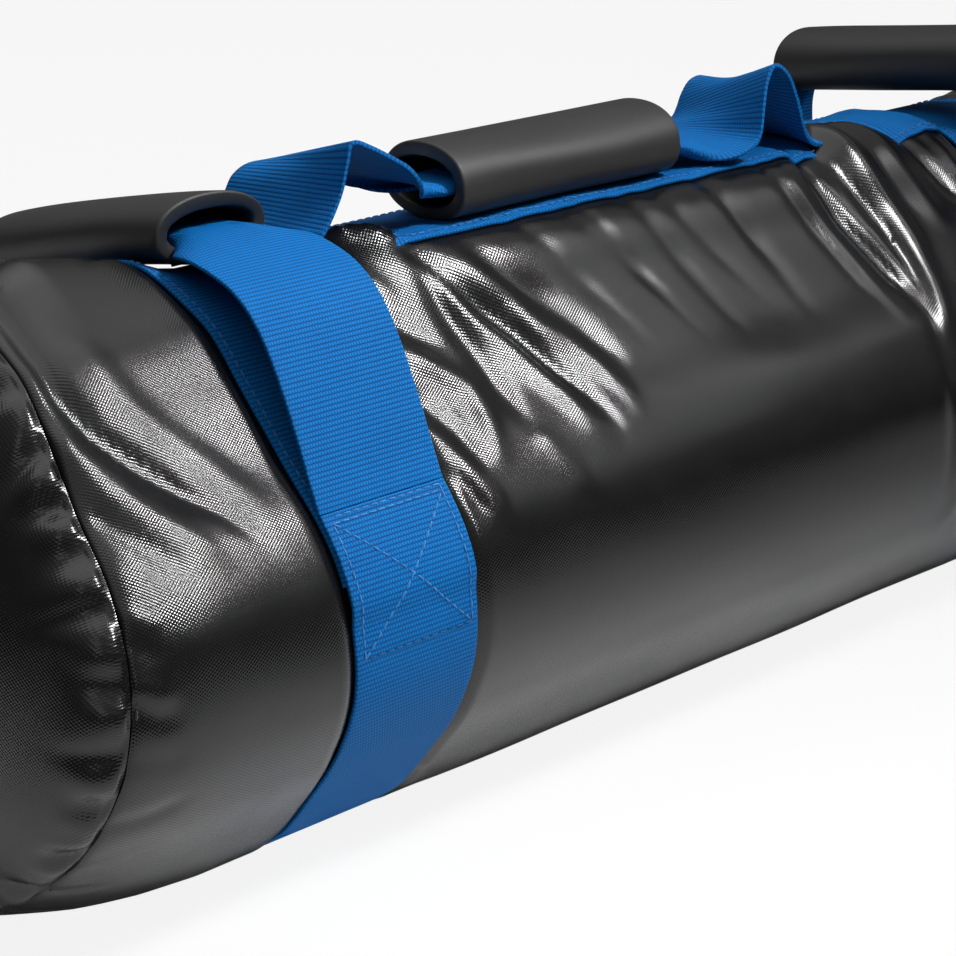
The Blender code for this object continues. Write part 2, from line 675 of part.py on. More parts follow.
def build_zip():
    """Zip: two tapes inside the slot's edges, two coils on them, end stops, slider and pull tab."""
    frame = zip_frame()
    tape_top = -PANEL_THICKNESS - GAP
    half_gap = GAP / 2
    for label, sign in (("upper", 1), ("lower", -1)):
        radius = section_radius(ZIP_ANGLE)
        near = ZIP_ANGLE - sign * half_gap / radius
        far = ZIP_ANGLE - sign * ZIP_TAPE_WIDTH / radius
        tape_low = tape_top - ZIP_TAPE_THICKNESS
        angles = angles_between(min(near, far), max(near, far))
        wrap(f"zip_tape_{label}", 0, ZIP_LENGTH / 2 + ZIP_TAPE_OVERRUN, angles, lambda angle: tape_low, TAPE,
             ZIP_TAPE_THICKNESS)
        coil = sorted((sign * half_gap, sign * (half_gap + ZIP_COIL_WIDTH)))
        coil_low = tape_top + GAP
        zip_bar(f"zip_coil_{label}", frame, (-ZIP_LENGTH / 2, ZIP_LENGTH / 2), coil,
                (coil_low, coil_low + ZIP_COIL_HEIGHT), NYLON)
    coil_low = tape_top + GAP
    stop_half = ZIP_COIL_WIDTH + half_gap
    for label, sign in (("left", -1), ("right", 1)):
        near = sign * (ZIP_LENGTH / 2 + GAP)
        far = near + sign * ZIP_STOP_LENGTH
        zip_bar(f"zip_stop_{label}", frame, (near, far), (-stop_half, stop_half),
                (coil_low, coil_low + ZIP_COIL_HEIGHT), METAL)
    build_slider(frame, coil_low, coil_low + ZIP_COIL_HEIGHT)


def slider_x():
    """Rest place of the slider, at the left end of the coils."""
    return -ZIP_LENGTH / 2 + SLIDER_LENGTH / 2


def build_slider(frame, coil_low, coil_high):
    """Slider astride the coils with its bridge, and the pull tab that hinges under the bridge."""
    inner = ZIP_COIL_WIDTH + GAP / 2 + GAP
    outer = inner + SLIDER_WALL
    plate_low = coil_high + GAP
    plate_high = plate_low + SLIDER_WALL
    start = slider_x() - SLIDER_LENGTH / 2
    end = slider_x() + SLIDER_LENGTH / 2
    section = [(-outer, coil_low), (-inner, coil_low), (-inner, plate_low), (inner, plate_low),
               (inner, coil_low), (outer, coil_low), (outer, plate_high), (-outer, plate_high)]
    ends = [[frame.at(x, across, out) for across, out in section] for x in (start, end)]
    body = skin("zip_slider", ends, METAL, smooth=False)
    bridge_top = plate_high + BRIDGE_HEIGHT
    half = BRIDGE_LENGTH / 2
    sunk = plate_low + SLIDER_WALL / 2
    top = bridge_top + BRIDGE_LEG
    profile = [(-half, sunk), (half, sunk), (half, top), (-half, top)]
    open_half = half - BRIDGE_LEG
    window = [(-open_half, plate_high), (open_half, plate_high), (open_half, bridge_top),
              (-open_half, bridge_top)]
    rings = []
    for outline, across in ((profile, -1), (profile, 1), (window, 1), (window, -1)):
        rings.append([frame.at(slider_x() + x, across * BRIDGE_WIDTH / 2, out) for x, out in outline])
    bridge = skin("zip_bridge", rings, METAL, closed=True, smooth=False)
    bridge.hide_render = True
    bridge.display_type = "WIRE"
    join = body.modifiers.new("bridge", "BOOLEAN")
    join.operation = "UNION"
    join.solver = "EXACT"
    join.object = bridge
    build_pull(frame, plate_high + GAP + PULL_PIN / 2)


def build_pull(frame, pin_out):
    """Pull tab: a flat plate with a window at its end, whose end bar turns under the bridge."""
    inner = BRIDGE_WIDTH / 2 + GAP
    outer = inner + PULL_ARM_WIDTH
    half = PULL_PIN / 2
    tip = PULL_ARM_LENGTH + PULL_PLATE_LENGTH
    profile = [(-half, -outer), (tip, -outer), (tip, outer), (-half, outer)]
    window = [(half, -inner), (PULL_ARM_LENGTH, -inner), (PULL_ARM_LENGTH, inner), (half, inner)]
    rings = []
    for outline, side in ((profile, -1), (profile, 1), (window, 1), (window, -1)):
        rings.append([frame.at(slider_x() + x, across, pin_out + side * half) for x, across in outline])
    skin("zip_pull", rings, METAL, closed=True, pivot=frame.at(slider_x(), 0, pin_out), smooth=False)


def wadding_depth():
    """Depth of the wadding's outer side, just inside the grooves of the barrel."""
    return GROOVE_DEPTH + PANEL_THICKNESS + GAP


def build_wadding():
    """Wadding wrap round the liner, and a pad at each end that fills the cap."""
    outer = wadding_depth()
    inner = outer + WADDING_THICKNESS
    half = WADDING_LENGTH / 2
    outline = [(-half, outer), (half, outer), (half, inner), (-half, inner)]
    revolve("wadding_wrap", outline, WADDING, closed=True)
    rim = SEAM_DRAW + SEAM_ALLOWANCE + PANEL_THICKNESS + GAP
    dome = dome_line(-HALF_SEAM, CAP_BULGE - PANEL_THICKNESS, rim)
    pad = dome + [(-half - GAP, rim), (-half - GAP, MEAN_RADIUS)]
    revolve("wadding_end_left", pad, WADDING)
    revolve("wadding_end_right", pad, WADDING, mirrored=True)


def bolster_line(start, end, depth, corner):
    """Line of a closed bolster from pole to pole with rounded shoulders, as (x, depth) points."""
    half = [(start, MEAN_RADIUS)]
    for i in range(LINER_CORNER_STEPS + 1):
        turn = i / LINER_CORNER_STEPS * math.pi / 2
        half.append((start + corner * (1 - math.cos(turn)), depth + corner * (1 - math.sin(turn))))
    middle = (start + end) / 2
    return half + [(2 * middle - x, level) for x, level in reversed(half)]


def build_filling():
    """Sand in its woven liner, whose gathered neck is tied."""
    depth = wadding_depth() + WADDING_THICKNESS + GAP
    start = -LINER_LENGTH / 2 - LINER_SETBACK
    end = LINER_LENGTH / 2 - LINER_SETBACK
    neck = MEAN_RADIUS - LINER_NECK_RADIUS
    line = bolster_line(start, end, depth, LINER_CORNER)[:-1]
    line += [(end, neck), (end + LINER_NECK_LENGTH, neck),
             (end + LINER_NECK_LENGTH + LINER_MOUTH_FLARE, neck - LINER_MOUTH_FLARE)]
    outline = line + list(reversed(thicken(line, LINER_THICKNESS)))
    revolve("liner_bag", outline, LINER)
    inset = LINER_THICKNESS + GAP
    sand = bolster_line(start + inset, end - inset, depth + inset, LINER_CORNER - inset)
    revolve("sand_fill", sand, SAND)
    low = neck - GAP
    middle = end + LINER_NECK_LENGTH / 2
    tie = [(middle - TIE_WIDTH / 2, low - TIE_THICKNESS), (middle + TIE_WIDTH / 2, low - TIE_THICKNESS),
           (middle + TIE_WIDTH / 2, low), (middle - TIE_WIDTH / 2, low)]
    revolve("liner_tie", tie, NYLON, closed=True)


def main():
    """Build every piece of the bag."""
    for old in list(bpy.data.objects):
        bpy.data.objects.remove(old, do_unlink=True)
    build_barrel()
    build_cap("end_cap_left", False)
    build_cap("end_cap_right", True)
    for label, band_x in (("left", -HALF_BAND), ("right", HALF_BAND)):
        build_top_strip(f"top_strip_{label}", band_x)
        build_belly_band(f"belly_band_{label}", band_x)
    build_base_strip()
    ground = layer_height(3, -GROOVE_DEPTH) - GAP
    flat = (FLAT_GRIP_WIDTH, FLAT_GRIP_HEIGHT)
    left = cross_seat(-HALF_BAND, LEFT_GRIP_MIDDLE, LEFT_GRIP_SLOPE, LEFT_GRIP_RAISE, flat, ground)
    build_cross_handle("left", -HALF_BAND, left, LEFT_FRONT_PULLS, LEFT_BACK_PULLS)
    oval = (GRIP_WIDTH, GRIP_HEIGHT)
    right = cross_seat(HALF_BAND, RIGHT_GRIP_MIDDLE, RIGHT_GRIP_SLOPE, RIGHT_GRIP_RAISE, oval, ground)
    build_cross_handle("right", HALF_BAND, right, RIGHT_FRONT_PULLS, RIGHT_BACK_PULLS)
    build_middle_handle(middle_seat())
    build_zip()
    build_wadding()
    build_filling()


main()
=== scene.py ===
"""Looks of a sandbag trainer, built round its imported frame.

The bag lies along X with its front towards -Y. Angles round the barrel start at the front and run up over the
top. The coated shell, the webbing, the foam grips, the zip and the stitches are modelled here, and each stands
for its solids in the frame.
"""

import json
import logging
import math
from dataclasses import dataclass, field
from enum import Enum

import bpy
import numpy as np
from mathutils import Matrix, Vector, noise

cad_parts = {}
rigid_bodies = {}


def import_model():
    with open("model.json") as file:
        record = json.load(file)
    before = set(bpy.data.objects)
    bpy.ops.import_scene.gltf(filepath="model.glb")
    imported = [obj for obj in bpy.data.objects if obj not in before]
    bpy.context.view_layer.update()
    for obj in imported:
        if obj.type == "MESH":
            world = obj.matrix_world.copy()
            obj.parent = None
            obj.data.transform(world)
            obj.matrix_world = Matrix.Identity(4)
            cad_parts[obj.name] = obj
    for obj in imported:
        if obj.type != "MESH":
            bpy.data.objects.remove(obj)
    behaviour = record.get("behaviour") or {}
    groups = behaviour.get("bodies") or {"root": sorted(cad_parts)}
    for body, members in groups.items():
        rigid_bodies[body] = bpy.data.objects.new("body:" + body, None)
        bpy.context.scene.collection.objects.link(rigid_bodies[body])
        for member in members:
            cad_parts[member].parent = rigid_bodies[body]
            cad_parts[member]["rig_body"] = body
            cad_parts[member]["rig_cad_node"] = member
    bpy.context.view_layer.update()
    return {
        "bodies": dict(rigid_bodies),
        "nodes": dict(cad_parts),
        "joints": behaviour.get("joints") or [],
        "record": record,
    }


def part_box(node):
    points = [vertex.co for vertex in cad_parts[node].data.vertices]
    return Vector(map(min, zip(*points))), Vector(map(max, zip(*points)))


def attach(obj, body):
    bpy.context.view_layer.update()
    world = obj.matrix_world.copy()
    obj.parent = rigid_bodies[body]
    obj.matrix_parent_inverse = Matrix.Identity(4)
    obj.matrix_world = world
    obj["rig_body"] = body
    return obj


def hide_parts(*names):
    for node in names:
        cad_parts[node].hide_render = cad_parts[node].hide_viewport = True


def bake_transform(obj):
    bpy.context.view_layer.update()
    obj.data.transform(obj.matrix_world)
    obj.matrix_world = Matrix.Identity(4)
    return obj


MM = 0.001
# Gap between layers that lie on each other
GAP = 0.3 * MM
# Arc of one degree round the barrel, in mm
ARC = 1.70
# Top edge of the stitched boxes, in degrees
BOX_TOP = 31.0
SIDES = (("left", -1), ("right", 1))
LOG = logging.getLogger("sandbag")
FRAME: dict = {}
Pairs = tuple[tuple[float, float], ...]


# Shader maths
class Value:
    """A number in a material's node tree. Sums on it add Math nodes."""

    def __init__(self, nodes: "Nodes", socket: bpy.types.NodeSocket) -> None:
        """Keep the tree and the socket that gives the number."""
        self.nodes = nodes
        self.socket = socket

    def _math(self, operation: str, first: object, second: object = None) -> "Value":
        """Math node on one or two numbers."""
        inputs = {0: first} if second is None else {0: first, 1: second}
        return self.nodes.node("ShaderNodeMath", {"operation": operation}, inputs)

    def __add__(self, other: object) -> "Value":
        """Sum."""
        return self._math("ADD", self, other)

    __radd__ = __add__

    def __sub__(self, other: object) -> "Value":
        """Difference."""
        return self._math("SUBTRACT", self, other)

    def __rsub__(self, other: object) -> "Value":
        """Difference from a plain number."""
        return self._math("SUBTRACT", other, self)

    def __mul__(self, other: object) -> "Value":
        """Product."""
        return self._math("MULTIPLY", self, other)

    __rmul__ = __mul__

    def __truediv__(self, other: object) -> "Value":
        """Quotient."""
        return self._math("DIVIDE", self, other)

    def sin(self) -> "Value":
        """Sine."""
        return self._math("SINE", self)

    def abs(self) -> "Value":
        """Absolute value."""
        return self._math("ABSOLUTE", self)

    def floor(self) -> "Value":
        """Whole part."""
        return self._math("FLOOR", self)

    def power(self, exponent: float) -> "Value":
        """Power of a number that isn't negative."""
        return self._math("POWER", self, exponent)

    def clamped(self) -> "Value":
        """The number held between 0 and 1."""
        return self.nodes.node("ShaderNodeClamp", {}, {"Value": self})


class Nodes:
    """A node tree, and the ways to add to it."""

    def __init__(self, tree: bpy.types.NodeTree) -> None:
        """Keep the tree."""
        self.tree = tree

    def node(self, kind: str, settings: dict, inputs: dict, output: object = 0) -> Value:
        """Add any node.

        Args:
            kind: The node's type.
            settings: Its own properties, set first; "stops" are a ramp's (position, colour) pairs.
            inputs: Numbers, colours or links for its sockets.
            output: Which output to give back.

        Returns:
            The output as a value.
        """
        made = self.tree.nodes.new(kind)
        for key, setting in settings.items():
            if key == "stops":
                for stop, (place, colour) in zip(made.color_ramp.elements, setting):
                    stop.position = place
                    stop.color = (*colour, 1)
            else:
                setattr(made, key, setting)
        for key, given in inputs.items():
            self.feed(made.inputs[key], given)
        return Value(self, made.outputs[output])

    def feed(self, socket: bpy.types.NodeSocket, given: object) -> None:
        """Set a socket to a plain value, or link it.

        Args:
            socket: The input to set.
            given: A value of this tree, a colour or a number.
        """
        if isinstance(given, Value):
            self.tree.links.new(given.socket, socket)
        elif isinstance(given, tuple) and len(given) == 3 and socket.type == "RGBA":
            socket.default_value = (*given, 1)
        else:
            socket.default_value = given


class Shading(Nodes):
    """Node tree of one material."""

    def __init__(self, name: str) -> None:
        """Start a Principled material.

        Args:
            name: The material's name.
        """
        self.material = bpy.data.materials.new(name)
        self.material.use_nodes = True
        super().__init__(self.material.node_tree)
        self.shader = self.tree.nodes["Principled BSDF"]

    def surface(self, **sockets: object) -> None:
        """Set the shader's own sockets, named with underscores for spaces."""
        for key, given in sockets.items():
            self.feed(self.shader.inputs[key.replace("_", " ")], given)

    def place(self) -> Value:
        """Object coordinates."""
        return self.node("ShaderNodeTexCoord", {}, {}, "Object")

    def along_cloth(self) -> list[Value]:
        """Read the piece's own attribute.

        Returns:
            The distances across and along its cloth, in metres.
        """
        cloth = self.node("ShaderNodeAttribute", {"attribute_name": "weave"}, {}, "Vector")
        return [self.node("ShaderNodeSeparateXYZ", {}, {0: cloth}, axis) for axis in (0, 1)]

    def speckle(self, scale: float, detail: float = 2.0, rough: float = 0.5) -> Value:
        """Noise over the piece's own place, from 0 to 1."""
        sockets = {"Vector": self.place(), "Scale": scale, "Detail": detail, "Roughness": rough}
        return self.node("ShaderNodeTexNoise", {}, sockets, 0)

    def mix(self, factor: object, first: object, second: object) -> Value:
        """Colour between two colours."""
        settings = {"data_type": "RGBA"}
        return self.node("ShaderNodeMix", settings, {0: factor, 6: first, 7: second}, 2)

    def bump(self, height: Value) -> None:
        """Raise the surface by a height in metres."""
        sockets = {"Height": height, "Distance": 1.0, "Strength": 1.0}
        self.surface(Normal=self.node("ShaderNodeBump", {}, sockets))


# Finishes
@dataclass(frozen=True)
class CoatedFabric:
    """Black coating over a coarse scrim that shows through as woven bumps."""

    name: str = "gloss_coated_fabric"
    dark: tuple = (0.0040, 0.0040, 0.0043)
    worn: tuple = (0.0085, 0.0085, 0.0090)
    warp: float = 1.55 * MM
    weft: float = 1.05 * MM
    emboss: float = 0.036 * MM
    grain: float = 0.012 * MM
    slack: float = 0.45
    roughness: float = 0.15

    def make(self) -> bpy.types.Material:
        """Build the material.

        Returns:
            The material.
        """
        look = Shading(self.name)
        across, along = look.along_cloth()
        threads = (across * (2 * math.pi / self.warp)).sin() * (along * (2 * math.pi / self.weft)).sin()
        patches = look.speckle(38.0, 3.0)
        grain = look.speckle(1500.0, 1.0)
        taut = self.slack + (0.35 - across * 5.0).clamped() * (1 - self.slack)
        relief = threads * taut * (self.emboss * 0.7 + patches * (self.emboss * 0.6))
        look.bump(relief + grain * self.grain)
        scuffs = (look.speckle(70.0, 5.0, 0.65) - 0.5).abs() * 2.0
        look.surface(Base_Color=look.mix(scuffs, self.dark, self.worn), Specular_IOR_Level=0.5)
        look.surface(Roughness=self.roughness + patches * 0.10 + scuffs * 0.05)
        return look.material


@dataclass(frozen=True)
class Webbing:
    """Ribbed woven webbing: weft ribs across its width with thread dots along them, and painted shade in the grooves
    between the ribs.
    """

    name: str = "azure_webbing"
    # light is the blue of the rib tops; deep is the painted shade of the grooves between the ribs
    light: tuple = (0.0008, 0.152, 0.450)
    deep: tuple = (0.0004, 0.028, 0.135)
    rib: float = 1.55 * MM
    thread: float = 1.1 * MM
    rib_height: float = 0.16 * MM
    fuzz_height: float = 0.05 * MM
    roughness: float = 0.60

    def make(self) -> bpy.types.Material:
        """Build the material.

        Returns:
            The material.
        """
        look = Shading(self.name)
        across, along = look.along_cloth()
        rows = along / self.rib
        stagger = rows.floor() * 0.5
        ribs = (rows * math.pi).sin().abs()
        dots = ((across / self.thread + stagger) * math.pi).sin().abs()
        raised = ribs.power(0.7) * (0.45 + dots * 0.55)
        fuzz = look.speckle(900.0, 2.0)
        patches = look.speckle(45.0, 3.0)
        # Painted shade: the colour darkens with the rib height into the grooves and between the thread dots; fuzz and
        # patches add random tone
        shade = (raised * 0.95 + fuzz * 0.25 + patches * 0.16 - 0.20).clamped()
        look.surface(Base_Color=look.mix(shade, self.deep, self.light))
        look.surface(Roughness=self.roughness + fuzz * 0.2, Specular_IOR_Level=0.12)
        look.bump(raised * self.rib_height + fuzz * self.fuzz_height)
        return look.material


@dataclass(frozen=True)
class Foam:
    """Matt closed-cell foam rubber."""

    name: str = "charcoal_foam"
    dark: tuple = (0.0080, 0.0080, 0.0084)
    pale: tuple = (0.0155, 0.0155, 0.0160)
    cell_height: float = 0.020 * MM
    patch_height: float = 0.10 * MM
    roughness: float = 0.50

    def make(self) -> bpy.types.Material:
        """Build the material.

        Returns:
            The material.
        """
        look = Shading(self.name)
        cells = look.speckle(2600.0, 2.0)
        patches = look.speckle(60.0, 4.0)
        look.surface(Base_Color=look.mix((patches * 0.7 + cells * 0.3).clamped(), self.dark, self.pale))
        look.surface(Roughness=self.roughness + patches * 0.10, Specular_IOR_Level=0.5)
        look.bump(cells * self.cell_height + patches * self.patch_height)
        return look.material


@dataclass(frozen=True)
class Thread:
    """Twisted sewing thread of one colour."""

    name: str
    colour: tuple
    shaded: float = 0.55
    fibre: float = 0.05 * MM

    def make(self) -> bpy.types.Material:
        """Build the material.

        Returns:
            The material.
        """
        look = Shading(self.name)
        fibres = look.speckle(2200.0, 2.0)
        darker = tuple(part * self.shaded for part in self.colour)
        look.surface(Base_Color=look.mix(fibres, darker, self.colour), Roughness=0.55, Sheen_Weight=0.2)
        look.bump(fibres * self.fibre)
        return look.material


@dataclass(frozen=True)
class WovenTape:
    """Fine herringbone tape."""

    name: str = "black_zip_tape"
    dark: tuple = (0.008, 0.008, 0.009)
    pale: tuple = (0.026, 0.026, 0.028)
    twill: float = 0.6 * MM
    relief: float = 0.05 * MM

    def make(self) -> bpy.types.Material:
        """Build the material.

        Returns:
            The material.
        """
        look = Shading(self.name)
        across, along = look.along_cloth()
        slant = ((along + across.abs()) * (math.pi / self.twill)).sin().abs()
        look.surface(Base_Color=look.mix(slant, self.dark, self.pale), Roughness=0.8, Sheen_Weight=0.2)
        look.bump(slant * self.relief)
        return look.material


@dataclass(frozen=True)
class Speckled:
    """Plain material with its own grain: nylon, enamelled metal, sand, sack cloth or felt."""

    name: str
    dark: tuple
    pale: tuple
    roughness: float
    scale: float
    relief: float
    metallic: float = 0.0

    def make(self) -> bpy.types.Material:
        """Build the material.

        Returns:
            The material.
        """
        look = Shading(self.name)
        grain = look.speckle(self.scale, 4.0, 0.6)
        look.surface(Base_Color=look.mix(grain, self.dark, self.pale), Metallic=self.metallic)
        look.surface(Roughness=self.roughness - 0.1 + grain * 0.2)
        look.bump(grain * self.relief)
        return look.material


class Kind(Enum):
    """The finishes of the bag, each with its maker."""

    COATED = CoatedFabric()
    WEBBING = Webbing()
    FOAM = Foam()
    BLUE_THREAD = Thread("sky_blue_thread", (0.020, 0.200, 0.560))
    DEEP_THREAD = Thread("deep_blue_thread", (0.002, 0.110, 0.400))
    BLACK_THREAD = Thread("black_thread", (0.006, 0.006, 0.006))
    TAPE = WovenTape()
    NYLON = Speckled("black_nylon", (0.010, 0.010, 0.011), (0.024, 0.024, 0.026), 0.42, 700.0, 0.01 * MM)
    METAL = Speckled("dark_enamelled_metal", (0.020, 0.020, 0.021), (0.060, 0.060, 0.064), 0.34, 500.0,
                     0.008 * MM, 0.85)
    SAND = Speckled("dry_sand", (0.36, 0.25, 0.14), (0.66, 0.52, 0.34), 0.93, 1400.0, 0.25 * MM)
    LINER = Speckled("sack_cloth", (0.50, 0.48, 0.42), (0.72, 0.70, 0.64), 0.86, 800.0, 0.12 * MM)
    FELT = Speckled("needled_felt", (0.56, 0.55, 0.52), (0.80, 0.79, 0.76), 0.95, 260.0, 0.4 * MM)


class Wardrobe:
    """Makes each finish once."""

    def __init__(self) -> None:
        """Start with nothing made."""
        self.made: dict[Kind, bpy.types.Material] = {}

    def dress(self, piece: bpy.types.Object, kind: Kind) -> None:
        """Give a piece one finish.

        Args:
            piece: The object to dress.
            kind: Which finish.
        """
        if kind not in self.made:
            self.made[kind] = kind.value.make()
        piece.data.materials.clear()
        piece.data.materials.append(self.made[kind])


WARDROBE = Wardrobe()


# Modelling
def deselect() -> None:
    """Leave nothing selected, in object mode."""
    if bpy.context.object and bpy.context.object.mode != "OBJECT":
        bpy.ops.object.mode_set(mode="OBJECT")
    bpy.ops.object.select_all(action="DESELECT")


def pick(piece: bpy.types.Object) -> None:
    """Select one piece alone and make it active.

    Args:
        piece: The object to select.
    """
    deselect()
    piece.select_set(True)
    bpy.context.view_layer.objects.active = piece


def close_up(piece: bpy.types.Object, angle: float = 40.0) -> None:
    """Merge doubled points, turn the faces outwards and shade the piece smooth.

    Args:
        piece: A mesh object.
        angle: Degrees past which an edge stays sharp.
    """
    pick(piece)
    bpy.ops.object.mode_set(mode="EDIT")
    bpy.ops.mesh.select_all(action="SELECT")
    bpy.ops.mesh.remove_doubles(threshold=1e-6)
    bpy.ops.mesh.normals_make_consistent(inside=False)
    bpy.ops.object.mode_set(mode="OBJECT")
    bpy.ops.object.shade_smooth_by_angle(angle=math.radians(angle))


def apply(piece: bpy.types.Object, kind: str, **settings: object) -> None:
    """Add a modifier and apply it.

    Args:
        piece: The object to change.
        kind: The modifier's type.
        settings: Its properties.
    """
    pick(piece)
    added = piece.modifiers.new(kind.title(), kind)
    for key, setting in settings.items():
        setattr(added, key, setting)
    bpy.ops.object.modifier_apply(modifier=added.name)


def spread(name: str, points: np.ndarray, cloth: np.ndarray) -> bpy.types.Object:
    """Grid primitive shaped onto rows of points.

    Args:
        name: The piece's name.
        points: Places, as rows by columns by 3.
        cloth: Distances along the cloth, as rows by columns by 2.

    Returns:
        The open sheet.
    """
    rows, columns = points.shape[:2]
    deselect()
    bpy.ops.mesh.primitive_grid_add(x_subdivisions=columns - 1, y_subdivisions=rows - 1, size=2)
    made = bpy.context.object
    made.name = made.data.name = name
    flat = np.zeros(len(made.data.vertices) * 3)
    made.data.vertices.foreach_get("co", flat)
    flat = flat.reshape(-1, 3)
    column = np.rint((flat[:, 0] + 1) / 2 * (columns - 1)).astype(int)
    row = np.rint((flat[:, 1] + 1) / 2 * (rows - 1)).astype(int)
    made.data.vertices.foreach_set("co", points[row, column].ravel())
    layer = made.data.attributes.new("weave", "FLOAT_VECTOR", "POINT")
    measured = np.zeros((len(flat), 3))
    measured[:, :2] = cloth[row, column]
    layer.data.foreach_set("vector", measured.ravel())
    made.data.update()
    return made


def lengths(points: np.ndarray) -> np.ndarray:
    """Distance along a line of points, from its first."""
    steps = np.linalg.norm(np.diff(points, axis=0), axis=1)
    return np.concatenate([[0], np.cumsum(steps)])


def smooth(keys: np.ndarray, at: np.ndarray) -> np.ndarray:
    """Read a smooth curve through keys.

    Args:
        keys: Values at even steps, as steps by size.
        at: Where to read, from 0 to 1.

    Returns:
        The values there.
    """
    keys = np.asarray(keys, float)
    padded = np.vstack([2 * keys[0] - keys[1], keys, 2 * keys[-1] - keys[-2]])
    place = np.clip(np.asarray(at, float), 0, 1) * (len(keys) - 1)
    index = np.minimum(place.astype(int), len(keys) - 2)
    t = (place - index)[:, None]
    a, b, c, d = (padded[index + k] for k in range(4))
    return b + ((c - a) * t + (2 * a - 5 * b + 4 * c - d) * t ** 2 + (3 * b - 3 * c + d - a) * t ** 3) / 2


def step(low: float, high: float, value: np.ndarray) -> np.ndarray:
    """Smooth rise from 0 to 1 between two values."""
    t = np.clip((value - low) / (high - low), 0, 1)
    return t * t * (3 - 2 * t)


def wrapped(degrees: np.ndarray) -> np.ndarray:
    """Degrees brought to between -180 and 180."""
    return (degrees + 180) % 360 - 180


# The barrel's form
@dataclass(frozen=True)
class Fold:
    """One crease or ridge of the shell: its path in mm and degrees, its height and its half width in mm."""

    path: Pairs
    height: float
    width: float
    fade_in: float = 0.2
    fade_out: float = 0.35


FRONT_FOLDS = (
    # Between the left end and the left band
    Fold(((-284, 110), (-287, 92), (-289, 77), (-288, 67), (-282, 58), (-271, 50), (-260, 43), (-249, 37),
          (-239, 30), (-231, 22)), -2.4, 4.2),
    Fold(((-272, 78), (-268, 64), (-258, 55), (-247, 48), (-237, 41), (-228, 32)), 1.1, 6.5),
    Fold(((-299, 66), (-294, 56), (-286, 48), (-276, 41), (-264, 34), (-252, 26)), 1.6, 5.5),
    Fold(((-296, 46), (-286, 38), (-276, 31), (-268, 24)), -1.0, 3.0),
    Fold(((-300, 15), (-292, 12), (-282, 9)), 1.0, 2.6),
    Fold(((-300, 11), (-291, 8), (-280, 5)), -1.1, 2.6),
    Fold(((-299, 21), (-290, 18), (-284, 16)), -0.7, 2.2),
    Fold(((-299, 26), (-290, 23), (-283, 22)), 0.7, 2.2),
    Fold(((-299, 1), (-288, 0), (-276, -2)), -0.6, 3.0),
    Fold(((-300, -12), (-286, -12), (-270, -10)), -0.7, 3.4),
    # Fan from the strip's left corner
    Fold(((-152, 84), (-142, 82), (-132, 79), (-124, 74)), 3.2, 3.6),
    Fold(((-132, 82), (-130, 76), (-124, 71), (-119, 66), (-111, 60), (-104, 55), (-97, 47), (-91, 40),
          (-87, 33), (-84, 24)), -2.3, 3.6),
    Fold(((-129, 74), (-122, 66), (-117, 59), (-110, 53), (-106, 48), (-100, 41), (-96, 33), (-93, 25)), 1.7, 4.6),
    Fold(((-116, 73), (-108, 67), (-100, 62), (-93, 55), (-84, 50), (-78, 44), (-74, 37), (-72, 28)), 1.7, 4.4),
    Fold(((-112, 76), (-102, 70), (-88, 62), (-77, 54), (-69, 45), (-66, 36)), -1.5, 4.6),
    Fold(((-132, 74), (-128, 67), (-127, 62), (-125, 56), (-123, 49), (-122, 42), (-120, 32)), -1.9, 4.2),
    Fold(((-158, 60), (-148, 55), (-141, 51), (-135, 47), (-134, 42), (-137, 35), (-140, 28)), 1.9, 4.6),
    Fold(((-160, 68), (-148, 63), (-140, 58), (-133, 56)), -1.2, 4.0),
    Fold(((-160, 76), (-150, 72), (-140, 66)), 1.0, 4.0),
    Fold(((-162, 50), (-154, 46), (-149, 38), (-148, 28)), -1.4, 3.6),
    Fold(((-163, 44), (-157, 38), (-153, 31), (-148, 24), (-144, 16)), 1.1, 3.8),
    Fold(((-163, 34), (-158, 28), (-154, 20)), -0.9, 3.0),
    Fold(((-120, 36), (-113, 26), (-108, 16)), 0.7, 4.0),
    # Folds from the strip's right corner
    Fold(((71, 88), (72, 80), (70, 70), (74, 60), (80, 51), (85, 42), (86, 33), (84, 24)), -3.3, 4.0),
    Fold(((92, 92), (95, 84), (96, 78), (98, 69), (101, 60), (102, 51), (99, 41), (93, 31), (86, 20)), 3.2, 6.0),
    Fold(((84, 76), (88, 66), (92, 56), (94, 47), (92, 38), (86, 28)), -1.3, 2.4),
    Fold(((58, 80), (58, 70), (62, 60), (67, 50), (72, 40), (76, 30)), 0.9, 4.6),
    Fold(((126, 92), (130, 86), (134, 79), (137, 70), (143, 61), (148, 52)), -2.6, 4.4),
    Fold(((112, 86), (115, 77), (119, 68), (124, 59), (128, 50)), 1.5, 6.5),
    Fold(((152, 84), (152, 74), (154, 64), (157, 56)), 1.2, 4.0),
    Fold(((86, 32), (82, 18), (79, 5), (80, -8)), -1.0, 4.4),
    Fold(((98, 14), (94, 2), (92, -12), (94, -22)), 0.8, 6.0),
    Fold(((110, 40), (116, 28), (118, 12)), -0.9, 5.0),
)


